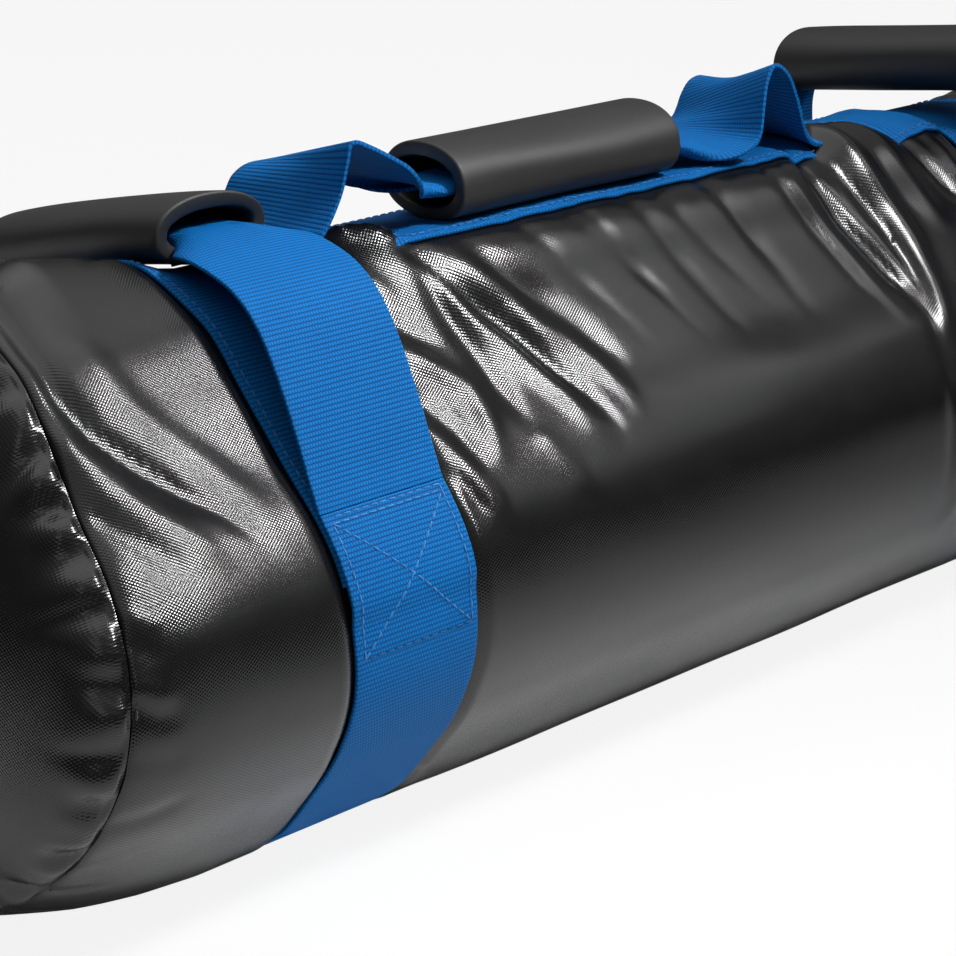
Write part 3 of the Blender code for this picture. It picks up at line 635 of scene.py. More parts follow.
@dataclass
class BarrelForm:
    """Surface of the filled shell: its cross-section, its ends, its grooves and its folds."""

    shares: tuple = (1.064, 1.074, 1.034, 0.988, 1.030, 1.118, 1.118, 1.088, 1.024, 0.990, 1.034, 1.072,
                     1.062, 1.004, 0.950, 0.937, 0.927, 0.914, 0.907, 0.914, 0.927, 0.937, 0.950, 1.004)
    radius: float = 95 * MM
    floor_cut: float = 2 * MM
    half_seam: float = 297 * MM
    shoulder: float = 36 * MM
    seam_draw: float = 4.5 * MM
    lean_share: float = 0.17
    band_inner: float = 165 * MM
    band_outer: float = 215 * MM
    groove_depth: float = 2.5 * MM
    groove_slope: float = 5 * MM
    zip_angle: float = 168.0
    zip_half: float = 145 * MM
    slot_half: float = 6 * MM
    slot_depth: float = 2.6 * MM
    top_share: float = 1.118
    folds: list[Fold] = field(default_factory=list)

    def __post_init__(self) -> None:
        """Find the axis height and gather the folds."""
        self.axis = float(self.reach(np.array([-math.pi / 2]))[0]) - self.floor_cut
        self.folds = [*FRONT_FOLDS, *self.ripples(), *self.seam_puckers(), *self.band_creases()]

    def reach(self, angle: np.ndarray) -> np.ndarray:
        """Distance from the axis to the cross-section.

        Args:
            angle: Radians round the barrel.

        Returns:
            The distances in metres.
        """
        count = len(self.shares)
        at = angle * count / (2 * math.pi)
        index = np.floor(at).astype(int)
        t = at - index
        shares = np.array(self.shares)
        a, b, c, d = (shares[(index + k) % count] for k in (-1, 0, 1, 2))
        bend = (c - a) * t + (2 * a - 5 * b + 4 * c - d) * t * t + (3 * b - 3 * c + d - a) * t ** 3
        return self.radius * (b + bend / 2)

    def ripples(self) -> list[Fold]:
        """Soft parallel ripples that run down from the strip along the top.

        Returns:
            The folds.
        """
        made = []
        for i in range(9):
            share = i / 8
            top = -92 + 146 * share + 5 * math.sin(2.9 * i)
            foot = top + 46 - 26 * share + 6 * math.sin(1.9 * i)
            low = 40 + 8 * math.sin(1.7 * i)
            path = tuple((top + (foot - top) * k ** 0.75, 82 - (82 - low) * k) for k in (0, 0.2, 0.4, 0.6, 0.8, 1))
            made.append(Fold(path, -0.55 - 0.25 * math.sin(3.1 * i), 3.2 + math.sin(2.3 * i), 0.15, 0.55))
        return made

    def seam_puckers(self) -> list[Fold]:
        """Short gathers that run into the barrel from both end seams, where none is listed.

        Returns:
            The folds.
        """
        chance = np.random.default_rng(11)
        made = []
        for side in (-1, 1):
            angle = 0.0
            while angle < 360:
                angle += 9 + 6 * chance.random()
                turned = wrapped(angle)
                if side < 0 and -20 < turned < 80:
                    continue
                long = 16 + 22 * chance.random()
                slant = chance.uniform(-6, 6)
                path = tuple((side * (300 - long * k), angle + slant * k) for k in (0, 0.35, 0.7, 1))
                made.append(Fold(path, chance.choice((-1.0, 0.8)) * chance.uniform(0.6, 1.2),
                                 chance.uniform(2.4, 4.0), 0.05, 0.7))
        return made

    def band_creases(self) -> list[Fold]:
        """Creases that run out from the bands' edges on the sides the placed folds leave free.

        Returns:
            The folds.
        """
        chance = np.random.default_rng(23)
        made = []
        for edge, way in ((-215, -1), (-165, 1), (165, -1), (215, 1)):
            angle = 0.0
            while angle < 360:
                angle += 10 + 12 * chance.random()
                turned = wrapped(angle)
                if (edge == -165 and -25 < turned < 96) or (edge == -215 and -60 < turned < 84):
                    continue
                if edge == 165 and -30 < turned < 96:
                    continue
                long = 22 + 34 * chance.random()
                slant = chance.uniform(-16, 16)
                path = tuple((edge + way * long * k, angle + slant * k * k) for k in (0, 0.3, 0.6, 1))
                made.append(Fold(path, chance.choice((-1.0, 0.9)) * chance.uniform(0.7, 1.7),
                                 chance.uniform(3.0, 5.0), 0.1, 0.6))
        return made

    def relief(self, x: np.ndarray, angle: np.ndarray, flaps: bool = False) -> np.ndarray:
        """Height of the folds, grooves and swells.

        Args:
            x: Distance along the bag in metres.
            angle: Radians round the barrel.
            flaps: Whether to add the cloth that covers the strip's edge.

        Returns:
            Height over the plain form, in metres.
        """
        shape = np.broadcast(x, angle).shape
        along = np.broadcast_to(x, shape).ravel() / MM
        degrees = wrapped(np.degrees(np.broadcast_to(angle, shape)).ravel())
        total = np.zeros(len(along))
        for fold in self.folds:
            total += self.fold_height(fold, along, degrees)
        # Lazy waves all over
        turned = np.radians(degrees)
        lazy = np.sin(along / 31 + 2.1 * np.sin(turned * 2)) * np.sin(turned * 3 + along / 90)
        total += 0.35 * lazy + 0.18 * np.sin(along / 13 + turned * 9) * np.sin(turned * 5 + 1)
        # Pressed flat under a band, calmer close beside it, and none on the flat underside
        out = np.abs(along)
        inner, outer = self.band_inner / MM, self.band_outer / MM
        beside = np.minimum(np.abs(out - inner), np.abs(out - outer))
        inside = (out > inner) & (out < outer)
        pressed = 0.10 + 0.9 * (1 - step(0, 3.0, beside)) * 0.4
        free = 0.46 + 0.54 * step(0, 5.0, beside)
        total *= np.where(inside, pressed, free)
        total *= 1 - 0.9 * (1 - step(18, 34, np.abs(wrapped(degrees + 90))))
        total += self.swells(along, degrees)
        total -= self.groove_depth / MM * (1 - step(0, self.groove_slope / MM, beside) * ~inside)
        total -= self.slot(along, degrees)
        if flaps:
            total += self.flap(along, degrees)
        return (total * MM).reshape(shape)

    @staticmethod
    def fold_height(fold: Fold, along: np.ndarray, degrees: np.ndarray) -> np.ndarray:
        """Height that one fold adds.

        Args:
            fold: The fold.
            along: Places along the bag in mm.
            degrees: Places round it.

        Returns:
            Heights in mm.
        """
        path = np.array(fold.path, float)
        middle = (path[:, 1].min() + path[:, 1].max()) / 2
        near = wrapped(degrees - middle)
        reach = 3.2 * fold.width
        half = (path[:, 1].max() - path[:, 1].min()) / 2 + reach / ARC
        hit = (np.abs(near) < half) & (along > path[:, 0].min() - reach) & (along < path[:, 0].max() + reach)
        added = np.zeros(len(along))
        if not hit.any():
            return added
        spot = np.stack([along[hit], near[hit] * ARC], 1)
        line = np.stack([path[:, 0], (path[:, 1] - middle) * ARC], 1)
        run = lengths(line)
        best = np.full(len(spot), 1e9)
        where = np.zeros(len(spot))
        for start, end, base in zip(line, line[1:], run):
            way = end - start
            t = np.clip(((spot - start) @ way) / (way @ way), 0, 1)
            far = np.linalg.norm(spot - start - t[:, None] * way, axis=1)
            closer = far < best
            best = np.where(closer, far, best)
            where = np.where(closer, (base + t * np.linalg.norm(way)) / run[-1], where)
        fade = step(0, fold.fade_in, where) * (1 - step(1 - fold.fade_out, 1, where))
        narrow = fold.width * (0.65 + 0.35 * fade)
        added[hit] = fold.height * fade * np.exp(-(best / narrow) ** 2)
        return added

    @staticmethod
    def swells(along: np.ndarray, degrees: np.ndarray) -> np.ndarray:
        """Broad swells: the strip's raised front edge, the puffed left end and its lifted foot, the far end's rise.

        Args:
            along: Places along the bag in mm.
            degrees: Places round it.

        Returns:
            Heights in mm.
        """
        strip = 4.2 * np.exp(-((degrees - 73) / 9) ** 2) * step(-150, -120, along) * (1 - step(66, 84, along))
        # The puff over the left end is highest between the end seam and the band
        rise = np.interp(along, (-297, -285, -265, -250, -230, -215, -203, -190), (5, 9, 12, 10.5, 8.6, 6.6, 2.0, 0.0))
        puff = rise * step(74, 95, degrees) * (1 - step(126, 165, degrees))
        # The left end's foot is off the floor
        lift = np.interp(along, (-297, -285, -272, -254, -238), (11.0, 8.0, 4.8, 1.6, 0))
        foot = lift * np.exp(-(wrapped(degrees + 62) / 32) ** 2)
        far = 3.0 * np.exp(-((degrees - 96) / 22) ** 2) * step(236, 268, along)
        return strip + puff - foot + far

    @staticmethod
    def flap(along: np.ndarray, degrees: np.ndarray) -> np.ndarray:
        """Cloth that has folded over the strip's edge at its two ends.

        Args:
            along: Places along the bag in mm.
            degrees: Places round it.

        Returns:
            Heights in mm.
        """
        # The right flap reaches furthest up the strip at its middle
        edge = 77 + 9 * step(82, 102, along) * (1 - step(104, 140, along))
        right = 4.6 * step(58, 78, degrees) * (1 - step(edge, edge + 3.5, degrees))
        right *= step(76, 96, along) * (1 - step(112, 148, along))
        left = 4.5 * step(68, 82, degrees) * (1 - step(85.5, 87.5, degrees))
        left *= step(-161, -152, along) * (1 - step(-138, -122, along))
        return right + left

    def slot(self, along: np.ndarray, degrees: np.ndarray) -> np.ndarray:
        """Recess that holds the zip.

        Args:
            along: Places along the bag in mm.
            degrees: Places round it.

        Returns:
            Depths in mm.
        """
        across = np.abs(degrees - self.zip_angle) * ARC
        inside = 1 - step(self.slot_half / MM - 0.5, self.slot_half / MM + 0.5, across)
        inside = inside * (1 - step(self.zip_half / MM - 1, self.zip_half / MM + 1, np.abs(along)))
        return self.slot_depth / MM * inside

    def leaned(self, x: np.ndarray, z: np.ndarray) -> np.ndarray:
        """X after the filling has pushed the foot of each end outwards.

        Args:
            x: X before.
            z: Height over the floor.

        Returns:
            X after.
        """
        start = self.band_outer + self.groove_slope
        weight = np.clip((np.abs(x) - start) / (self.half_seam - start), 0, 1)
        return x - np.sign(x) * weight * self.lean_share * (z - self.axis)

    def swell(self, x: np.ndarray, angle: np.ndarray) -> np.ndarray:
        """Swells in metres, at X and radians."""
        return self.swells(x / MM, wrapped(np.degrees(angle))) * MM

    def section(self, share: np.ndarray, angle: np.ndarray) -> tuple[np.ndarray, np.ndarray]:
        """Points of the cross-section.

        Args:
            share: Share of the way from the axis to the surface.
            angle: Radians round the barrel.

        Returns:
            Their Y and Z.
        """
        base = self.reach(angle)
        return -share * base * np.cos(angle), self.axis + share * np.maximum(base * np.sin(angle), -self.axis)

    def place(self, x: np.ndarray, angle: np.ndarray, height: object = 0.0, relief: bool = True) -> np.ndarray:
        """World places on the barrel.

        Args:
            x: Distance along the bag.
            angle: Radians round the barrel.
            height: Height over the surface.
            relief: Whether to add the folds.

        Returns:
            Places, with a last axis of 3.
        """
        x, angle, height = np.broadcast_arrays(x, angle, height)
        if relief:
            height = height + self.relief(x, angle)
        y, z = self.section(1 + height / self.radius, angle)
        return np.stack([self.leaned(x, z), y, np.maximum(z, 0.0)], -1)


FORM = BarrelForm()


def cloth_of(x: np.ndarray, angle: np.ndarray) -> np.ndarray:
    """Distances along the shell's cloth for places on the barrel."""
    x, angle = np.broadcast_arrays(x, angle)
    return np.stack([x, angle * FORM.radius], -1)


# Shell
@dataclass
class Shell:
    """Barrel panel and the two puffed end caps."""

    seam_allowance: float = 10 * MM
    cap_bulge: float = 24 * MM
    cap_puff: float = 2.3
    pucker_depth: float = 2.3 * MM
    back_depths: tuple = (8 * MM, 14.5 * MM, 40 * MM, FORM.radius)
    around: int = 280
    cap_around: int = 300

    def build(self) -> list[bpy.types.Object]:
        """The shell's three pieces."""
        return [self.barrel(), self.cap("end_cap_left_shell", -1), self.cap("end_cap_right_shell", 1)]

    def angles(self) -> np.ndarray:
        """Angles round the barrel, closer together beside the zip's recess.

        Returns:
            Radians, in order.
        """
        even = -math.pi / 2 + np.linspace(0, 2 * math.pi, self.around + 1)
        middle = math.radians(FORM.zip_angle)
        edge = FORM.slot_half / (FORM.radius * 1.025)
        close = [middle + side * edge + more / 1000 for side in (-1, 1) for more in (-9, -5, -2, 2, 5, 9)]
        return np.unique(np.concatenate([even, close]))

    def barrel(self) -> bpy.types.Object:
        """Barrel panel with its turned-in ends.

        Returns:
            The dressed piece.
        """
        half = FORM.half_seam
        turned = [(-half, 60 * MM), (-half, FORM.seam_draw + self.seam_allowance), (-half, 9 * MM), (-half, 6.2 * MM)]
        for turn in np.linspace(0, math.pi / 2, 16):
            turned.append((-half + FORM.shoulder * (1 - math.cos(turn)), FORM.seam_draw * (1 - math.sin(turn))))
        inner = [(x, 0.0) for x in np.linspace(-half + FORM.shoulder, half - FORM.shoulder, 246)[1:-1]]
        edges = [side * (at + more * MM) for side in (-1, 1) for at in (FORM.band_inner, FORM.band_outer)
                 for more in (-1.0, 0.0, 1.0)]
        ends = [side * (FORM.zip_half + more * MM) for side in (-1, 1) for more in (-0.8, 0.8)]
        inner = sorted({*inner, *((x, 0.0) for x in edges + ends)})
        line = turned + inner + [(-x, depth) for x, depth in reversed(turned)]
        x, depth = np.array(line).T[..., None]
        angle = self.angles()[None, :]
        swell = FORM.swell(x, angle)
        relief = FORM.relief(x, angle, flaps=True) - swell
        relief = swell + relief * (1 - step(FORM.seam_draw * 0.9, 14 * MM, depth))
        points = FORM.place(x, angle, relief - depth, relief=False)
        poles = [np.zeros((1, points.shape[1], 3)) + [end, 0, FORM.axis] for end in (-half, half)]
        points = np.concatenate([poles[0], points, poles[1]])
        wide = np.concatenate([x[:1], x, x[-1:]])
        piece = spread("barrel_shell", points, cloth_of(wide, angle))
        close_up(piece)
        WARDROBE.dress(piece, Kind.COATED)
        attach(piece, "bag")
        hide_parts("barrel_panel")
        return piece

    def pucker(self, side: int, angle: np.ndarray, inward: np.ndarray) -> np.ndarray:
        """Depth of the gathers of a cap.

        Args:
            side: Which end.
            angle: Radians round the cap.
            inward: Share of the way from the seam to the cap's middle.

        Returns:
            Depth in metres.
        """
        chance = np.random.default_rng(5 if side < 0 else 7)
        degrees = np.degrees(angle)
        centres = [27, 14, 3, -8, 38, 48, 60, -21, -36] if side < 0 else []
        at = 72.0 if side < 0 else 0.0
        while at < (318 if side < 0 else 352):
            centres.append(at)
            at += 9 + 6 * chance.random()
        total = np.zeros(np.broadcast(angle, inward).shape)
        for centre in centres:
            deep = chance.uniform(0.55, 1.0)
            long = chance.uniform(0.30, 0.55)
            wide = chance.uniform(2.0, 3.2)
            slant = chance.uniform(-7, 7)
            off = wrapped(degrees - centre - slant * inward)
            body = step(0.0, 0.05, inward) * (1 - step(0.10, long, inward))
            total = total + deep * body * np.exp(-(off / (wide * (1.2 - inward))) ** 2)
            total = total - 0.5 * deep * body * np.exp(-((np.abs(off) - 4.4) / 2.6) ** 2)
        return total * self.pucker_depth

    @staticmethod
    def disc(side: int, out: object, share: np.ndarray, angle: np.ndarray) -> np.ndarray:
        """Rows of points over an end.

        Args:
            side: -1 for the left end and 1 for the right one.
            out: Distance from the bag's middle before the end leans.
            share: Share of the way from the axis to the barrel's surface.
            angle: Radians round the end.

        Returns:
            Places, as rows by columns by 3.
        """
        y, z = FORM.section(share, angle)
        x = side * out - side * FORM.lean_share * (z - FORM.axis)
        return np.stack([x, y, np.maximum(z, 0.0)], -1)

    def cap(self, name: str, side: int) -> bpy.types.Object:
        """End cap: a puffed disc with gathers along its seam.

        Args:
            name: The piece's name.
            side: -1 for the left end and 1 for the right one.

        Returns:
            The dressed piece.
        """
        face = FORM.half_seam + GAP
        inward = np.concatenate([np.linspace(0, 0.5, 34) ** 1.25, np.linspace(0.45, 1, 22)[1:]])
        inward = np.unique(inward)[:, None]
        turn = (1 - inward) * math.pi / 2
        radius = (FORM.radius - FORM.seam_draw) * np.sin(turn) ** (2 / self.cap_puff)
        rise = self.cap_bulge * np.cos(turn) ** (2 / self.cap_puff)
        rise[0] = 0
        angle = np.linspace(0, 2 * math.pi, self.cap_around + 1)[None, :]
        dent = self.pucker(side, angle, inward)
        swell = FORM.swell(np.full(angle.shape, side * FORM.half_seam), angle)
        lazy = 0.8 * MM * np.sin(3 * angle + 9 * inward + side) * inward * (1 - inward) * 4
        share = (radius + swell * np.sin(turn) - dent * np.sin(turn) * 0.8) / FORM.radius
        out = face + rise - dent * np.clip(inward * 9, 0, 1) * 0.8 + lazy
        back = [self.disc(side, face, (1 - depth / FORM.radius) * (1 + swell / FORM.radius), angle)
                for depth in reversed(self.back_depths)]
        points = np.concatenate([*back, self.disc(side, out, share, angle)])
        piece = spread(name, points, points[..., 1:])
        close_up(piece, 60)
        WARDROBE.dress(piece, Kind.COATED)
        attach(piece, "bag")
        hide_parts("end_cap_left" if side < 0 else "end_cap_right")
        return piece


# Webbing
@dataclass
class Strap:
    """Sizes of the carrying webbing, the width that stays flat where it is rolled, and the ways to make it."""

    width: float = 50 * MM
    thickness: float = 1.4 * MM
    rounding: float = 0.42 * MM
    flat: float = 14 * MM
    across: int = 25

    def layer(self, number: int) -> float:
        """Height of a layer's middle over the barrel's surface, counting from 1."""
        return number * GAP + (number - 0.5) * self.thickness

    def make(self, name: str, rows: np.ndarray) -> bpy.types.Object:
        """Webbing from rows of points across its middle face.

        Args:
            name: The piece's name.
            rows: Places, as rows by columns by 3.

        Returns:
            The dressed piece.
        """
        middle = lengths(rows[:, rows.shape[1] // 2])
        across = np.linspace(-self.width / 2, self.width / 2, rows.shape[1])
        cloth = np.stack(np.broadcast_arrays(across[None, :], middle[:, None]), -1)
        piece = spread(name, rows, cloth)
        apply(piece, "SOLIDIFY", thickness=self.thickness, offset=0.0, use_even_offset=False)
        apply(piece, "BEVEL", width=self.rounding, segments=2, limit_method="ANGLE", angle_limit=math.radians(50))
        close_up(piece, 50)
        WARDROBE.dress(piece, Kind.WEBBING)
        return piece

    def laid(self, name: str, x_pair: tuple[float, float], angles: np.ndarray, heights: np.ndarray,
             along_x: bool = False) -> bpy.types.Object:
        """Webbing that lies on the barrel between two X.

        Args:
            name: The piece's name.
            x_pair: Its two ends or edges in X.
            angles: Radians round the barrel.
            heights: Height of its middle at each angle.
            along_x: Whether it runs along the bag and not round it.

        Returns:
            The dressed piece.
        """
        count = max(2, round((x_pair[1] - x_pair[0]) / (2.5 * MM))) if along_x else self.across
        x = np.linspace(*x_pair, count)
        if along_x:
            rows = FORM.place(x[:, None], angles[None, :], heights[None, :])
        else:
            rows = FORM.place(x[None, :], angles[:, None], heights[:, None])
            wave = 0.25 * MM * np.sin(np.linspace(0, 40, len(angles)))
            rows[:, 0, 0] += wave
            rows[:, -1, 0] += wave[::-1]
        return self.make(name, rows)


STRAP = Strap()


@dataclass
class Bands:
    """Girth bands, the strips over the top and the strip along it."""

    half_band: float = 190 * MM
    strip_end: float = 18.0
    layer_step: float = 8.0
    box_low: float = 5.0
    box_inset: float = 3.0 * MM
    edge_inset: float = 2.6 * MM
    strip_share: float = 1.06

    def build(self) -> list[bpy.types.Object]:
        """Build the flat webbing and its stitches.

        Returns:
            The pieces.
        """
        made = []
        for label, side in SIDES:
            middle = side * self.half_band
            made.append(self.top_strip(label, middle))
            made.append(self.belly_band(label, middle))
            made.append(self.box_stitches(label, middle, True))
            made.append(self.box_stitches(label, middle, False))
        made.append(self.base_strip())
        made.extend(self.strip_stitches())
        return made

    def top_strip(self, label: str, middle: float) -> bpy.types.Object:
        """Strip of a band, sewn flat over the top.

        Args:
            label: left or right.
            middle: X of its middle.

        Returns:
            The dressed piece.
        """
        angles = np.radians(np.linspace(self.strip_end, 180 - self.strip_end, 110))
        heights = np.full(len(angles), STRAP.layer(1))
        half = STRAP.width / 2
        piece = STRAP.laid(f"top_strip_{label}_webbing", (middle - half, middle + half), angles, heights)
        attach(piece, "bag")
        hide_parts(f"top_strip_{label}")
        return piece

    def band_height(self, degrees: np.ndarray) -> np.ndarray:
        """Height of the belly webbing's middle, which steps up over the strip's two ends.

        Args:
            degrees: Places round the barrel, from the back box under the belly to the front one.

        Returns:
            Heights over the shell.
        """
        above = np.maximum(degrees, -180 - degrees)
        start = self.strip_end - self.layer_step
        share = step(start, start + self.layer_step * 0.6, above)
        return STRAP.layer(1) + (STRAP.layer(2) - STRAP.layer(1)) * share

    def belly_band(self, label: str, middle: float) -> bpy.types.Object:
        """Webbing under the bag from one stitched box to the other.

        Args:
            label: left or right.
            middle: X of its middle.

        Returns:
            The dressed piece.
        """
        degrees = np.linspace(-180 - BOX_TOP, BOX_TOP, 190)
        half = STRAP.width / 2
        piece = STRAP.laid(f"belly_band_{label}_webbing", (middle - half, middle + half), np.radians(degrees),
                           self.band_height(degrees))
        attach(piece, "bag")
        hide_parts(f"belly_band_{label}")
        return piece

    def base_strip(self) -> bpy.types.Object:
        """Strip along the top between the two bands.

        Returns:
            The dressed piece.
        """
        half = STRAP.width / 2 / (FORM.radius * self.strip_share)
        angles = math.pi / 2 + np.linspace(-half, half, STRAP.across)
        inner = FORM.band_inner - GAP
        heights = np.full(len(angles), STRAP.layer(1))
        piece = STRAP.laid("base_strip_webbing", (-inner, inner), angles, heights, along_x=True)
        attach(piece, "bag")
        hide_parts("base_strip")
        return piece

    def box_stitches(self, label: str, middle: float, front: bool) -> bpy.types.Object:
        """Box of stitches with a cross in it, through the belly webbing and the strip's end.

        Args:
            label: left or right.
            middle: X of the band's middle.
            front: Whether it is the box on the front.

        Returns:
            The dressed piece.
        """
        half = STRAP.width / 2 - self.box_inset
        low, high = self.box_low, BOX_TOP - 2.0
        corners = ((-half, high), (half, high), (half, low), (-half, low), (-half, high), (half, low), (-half, low),
                   (half, high), (half, high + 1.2), (-half, high + 1.2))
        lines = []
        for start, end in zip(corners, corners[1:]):
            share = np.linspace(0, 1, 40)
            x = middle + start[0] + (end[0] - start[0]) * share
            degrees = start[1] + (end[1] - start[1]) * share
            height = self.band_height(degrees) + STRAP.thickness / 2 + 0.10 * MM
            angle = np.radians(degrees if front else 180 - degrees)
            lines.append(FORM.place(x, angle, height))
        name = f"box_stitches_{label}_{'front' if front else 'back'}"
        return sewn(name, lines, Kind.BLUE_THREAD)

    def strip_stitches(self) -> list[bpy.types.Object]:
        """Stitches along both edges of the strips over the top and of the strip along it.

        Returns:
            The dressed pieces.
        """
        made = []
        lift = STRAP.layer(1) + STRAP.thickness / 2 + 0.08 * MM
        share = np.linspace(0, 1, 220)
        angle = np.radians(35 + 110 * share)
        for label, side in SIDES:
            middle = side * self.half_band
            edges = (middle - STRAP.width / 2 + self.edge_inset, middle + STRAP.width / 2 - self.edge_inset)
            lines = [FORM.place(np.full(len(angle), x), angle, lift) for x in edges]
            made.append(sewn(f"top_strip_stitches_{label}", lines, Kind.DEEP_THREAD))
        half = (STRAP.width / 2 - self.edge_inset) / (FORM.radius * self.strip_share)
        x = (2 * share - 1) * (FORM.band_inner - 3 * MM)
        lines = [FORM.place(x, np.full(len(x), math.pi / 2 + side * half), lift) for side in (-1, 1)]
        made.append(sewn("base_strip_stitches", lines, Kind.DEEP_THREAD))
        return made


# Stitches
def from_lowest(corners: list[int]) -> list[int]:
    """A face's corners in their own order, starting with the lowest."""
    first = corners.index(min(corners))
    return corners[first:] + corners[:first]


def sewn(name: str, lines: list[np.ndarray], kind: Kind, long: float = 2.7 * MM, gap: float = 0.9 * MM,
         thick: float = 0.30 * MM) -> bpy.types.Object:
    """Rows of stitches along lines, each a copy of one rounded dash.

    Args:
        name: The piece's name.
        lines: Places along each line.
        kind: The thread's finish.
        long: Length of a stitch.
        gap: Gap between stitches.
        thick: Half thickness of the thread.

    Returns:
        The dressed piece.
    """
    deselect()
    bpy.ops.mesh.primitive_uv_sphere_add(segments=6, ring_count=6, radius=1)
    dash = bpy.context.object
    base = np.array([vert.co for vert in dash.data.vertices])
    base[:, 2] = np.sign(base[:, 2]) * np.abs(base[:, 2]) ** 0.6
    # A new sphere lists its faces in another order in each run
    faces = sorted(from_lowest(list(face.vertices)) for face in dash.data.polygons)
    bpy.data.objects.remove(dash)
    verts, polygons = [], []
    for line in lines:
        run = lengths(line)
        at = long / 2
        while at < run[-1]:
            ends = [np.array([np.interp(at + side * long / 2, run, line[:, k]) for k in range(3)])
                    for side in (-1, 1)]
            way = Vector(ends[1] - ends[0])
            turn = np.array(way.to_track_quat("Z", "Y").to_matrix())
            shaped = base * [thick, thick, way.length / 2]
            first = len(verts) * len(base)
            polygons.extend([index + first for index in face] for face in faces)
            verts.append(shaped @ turn.T + (ends[0] + ends[1]) / 2)
            at += long + gap
    mesh = bpy.data.meshes.new(name)
    mesh.from_pydata(np.concatenate(verts).tolist(), [], polygons)
    piece = bpy.data.objects.new(name, mesh)
    bpy.context.scene.collection.objects.link(piece)
    mesh.shade_smooth()
    WARDROBE.dress(piece, kind)
    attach(piece, "bag")
    return piece


@dataclass
class EndSeams:
    """Thread that shows in the seam between the barrel and each cap."""

    inset: float = 1.4 * MM
    depth: float = 4.0 * MM
    stitch: float = 3.2 * MM
    gap: float = 1.3 * MM
    thick: float = 0.42 * MM

    def build(self) -> list[bpy.types.Object]:
        """Build both seams' stitches.

        Returns:
            The dressed pieces.
        """
        made = []
        angle = np.linspace(0, 2 * math.pi, 720)
        for label, side in SIDES:
            x = np.full(len(angle), side * (FORM.half_seam - self.inset))
            line = FORM.place(x, angle, FORM.swell(x, angle) - self.depth, relief=False)
            made.append(sewn(f"end_seam_stitches_{label}", [line], Kind.BLACK_THREAD, self.stitch, self.gap,
                             self.thick))
        return made


# Grips
@dataclass
class Seat:
    """Where a grip lies: its middle, the way along it and its outer size."""

    middle: tuple[float, float, float]
    along: tuple[float, float, float]
    width: float
    height: float
    length: float = 107 * MM
    wall: float = 4.8 * MM

    def end(self, sign: int, beyond: float = 0.0) -> Vector:
        """Middle of the bore at one end, or beyond it."""
        return Vector(self.middle) + Vector(self.along) * sign * (self.length / 2 + beyond)

    def side(self) -> Vector:
        """Level direction across the grip."""
        return Vector((1, 0, 0)) if abs(self.along[0]) < 0.5 else Vector((0, 1, 0))


@dataclass
class Grip:
    """Foam sleeve: a soft oval tube, a little bent and dented where it has been held."""

    name: str
    seat: Seat
    body: str
    bend: float = 0.0
    rounding: float = 1.1 * MM
    bevel: float = 0.6 * MM
    oval: float = 2.2
    dent: float = 0.45 * MM
    sides: int = 72

    def profile(self) -> np.ndarray:
        """Closed outline along the sleeve.

        Returns:
            Distances from its middle and insets from its outer size.
        """
        half, wall, curve = self.seat.length / 2, self.seat.wall, self.rounding
        line = [(x, 0.0) for x in np.linspace(curve - half, half - curve, 40)]
        line += [(half - curve + curve * math.sin(t), curve - curve * math.cos(t))
                 for t in np.linspace(0.2, math.pi / 2, 7)]
        line += [(half, wall - self.bevel), (half - self.bevel, wall)]
        line += [(x, wall) for x in np.linspace(half - 3 * MM, 3 * MM - half, 18)]
        line += [(self.bevel - half, wall), (-half, wall - self.bevel)]
        line += [(curve - half - curve * math.sin(t), curve - curve * math.cos(t))
                 for t in np.linspace(math.pi / 2, 0.2, 7)]
        return np.array(line)

    def build(self, node: str) -> bpy.types.Object:
        """Build the sleeve from a torus primitive.

        Args:
            node: The CAD node it stands for.

        Returns:
            The dressed piece.
        """
        line = self.profile()
        rings = len(line)
        deselect()
        bpy.ops.mesh.primitive_torus_add(major_segments=self.sides, minor_segments=rings, major_radius=1,
                                         minor_radius=0.3)
        piece = bpy.context.object
        piece.name = piece.data.name = self.name
        flat = np.array([vert.co for vert in piece.data.vertices])
        turn = np.arctan2(flat[:, 1], flat[:, 0])
        around = np.rint(np.arctan2(flat[:, 2], np.hypot(flat[:, 0], flat[:, 1]) - 1) / (2 * math.pi) * rings)
        along, inset = line[around.astype(int) % rings].T
        seat = self.seat
        reach = (np.abs(np.cos(turn)) ** self.oval + np.abs(np.sin(turn)) ** self.oval) ** (-1 / self.oval)
        across = (seat.width / 2 - inset) * reach * np.cos(turn)
        up = (seat.height / 2 - inset) * reach * np.sin(turn)
        share = along / (seat.length / 2)
        outer = np.clip(1 - inset / seat.wall, 0, 1)
        dent = self.dent * np.sin(along / (17 * MM) + 2 * np.sin(turn)) * np.sin(2 * turn + 1) * outer
        across += dent * np.cos(turn)
        up += dent * np.sin(turn) - self.bend * (share ** 2 - 0.33)
        centre = np.array(seat.middle) + along[:, None] * np.array(seat.along)
        places = centre + across[:, None] * np.array(seat.side()) + up[:, None] * np.array((0, 0, 1.0))
        piece.data.vertices.foreach_set("co", places.ravel())
        piece.data.update()
        close_up(piece, 60)
        WARDROBE.dress(piece, Kind.FOAM)
        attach(piece, self.body)
        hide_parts(node)
        return piece


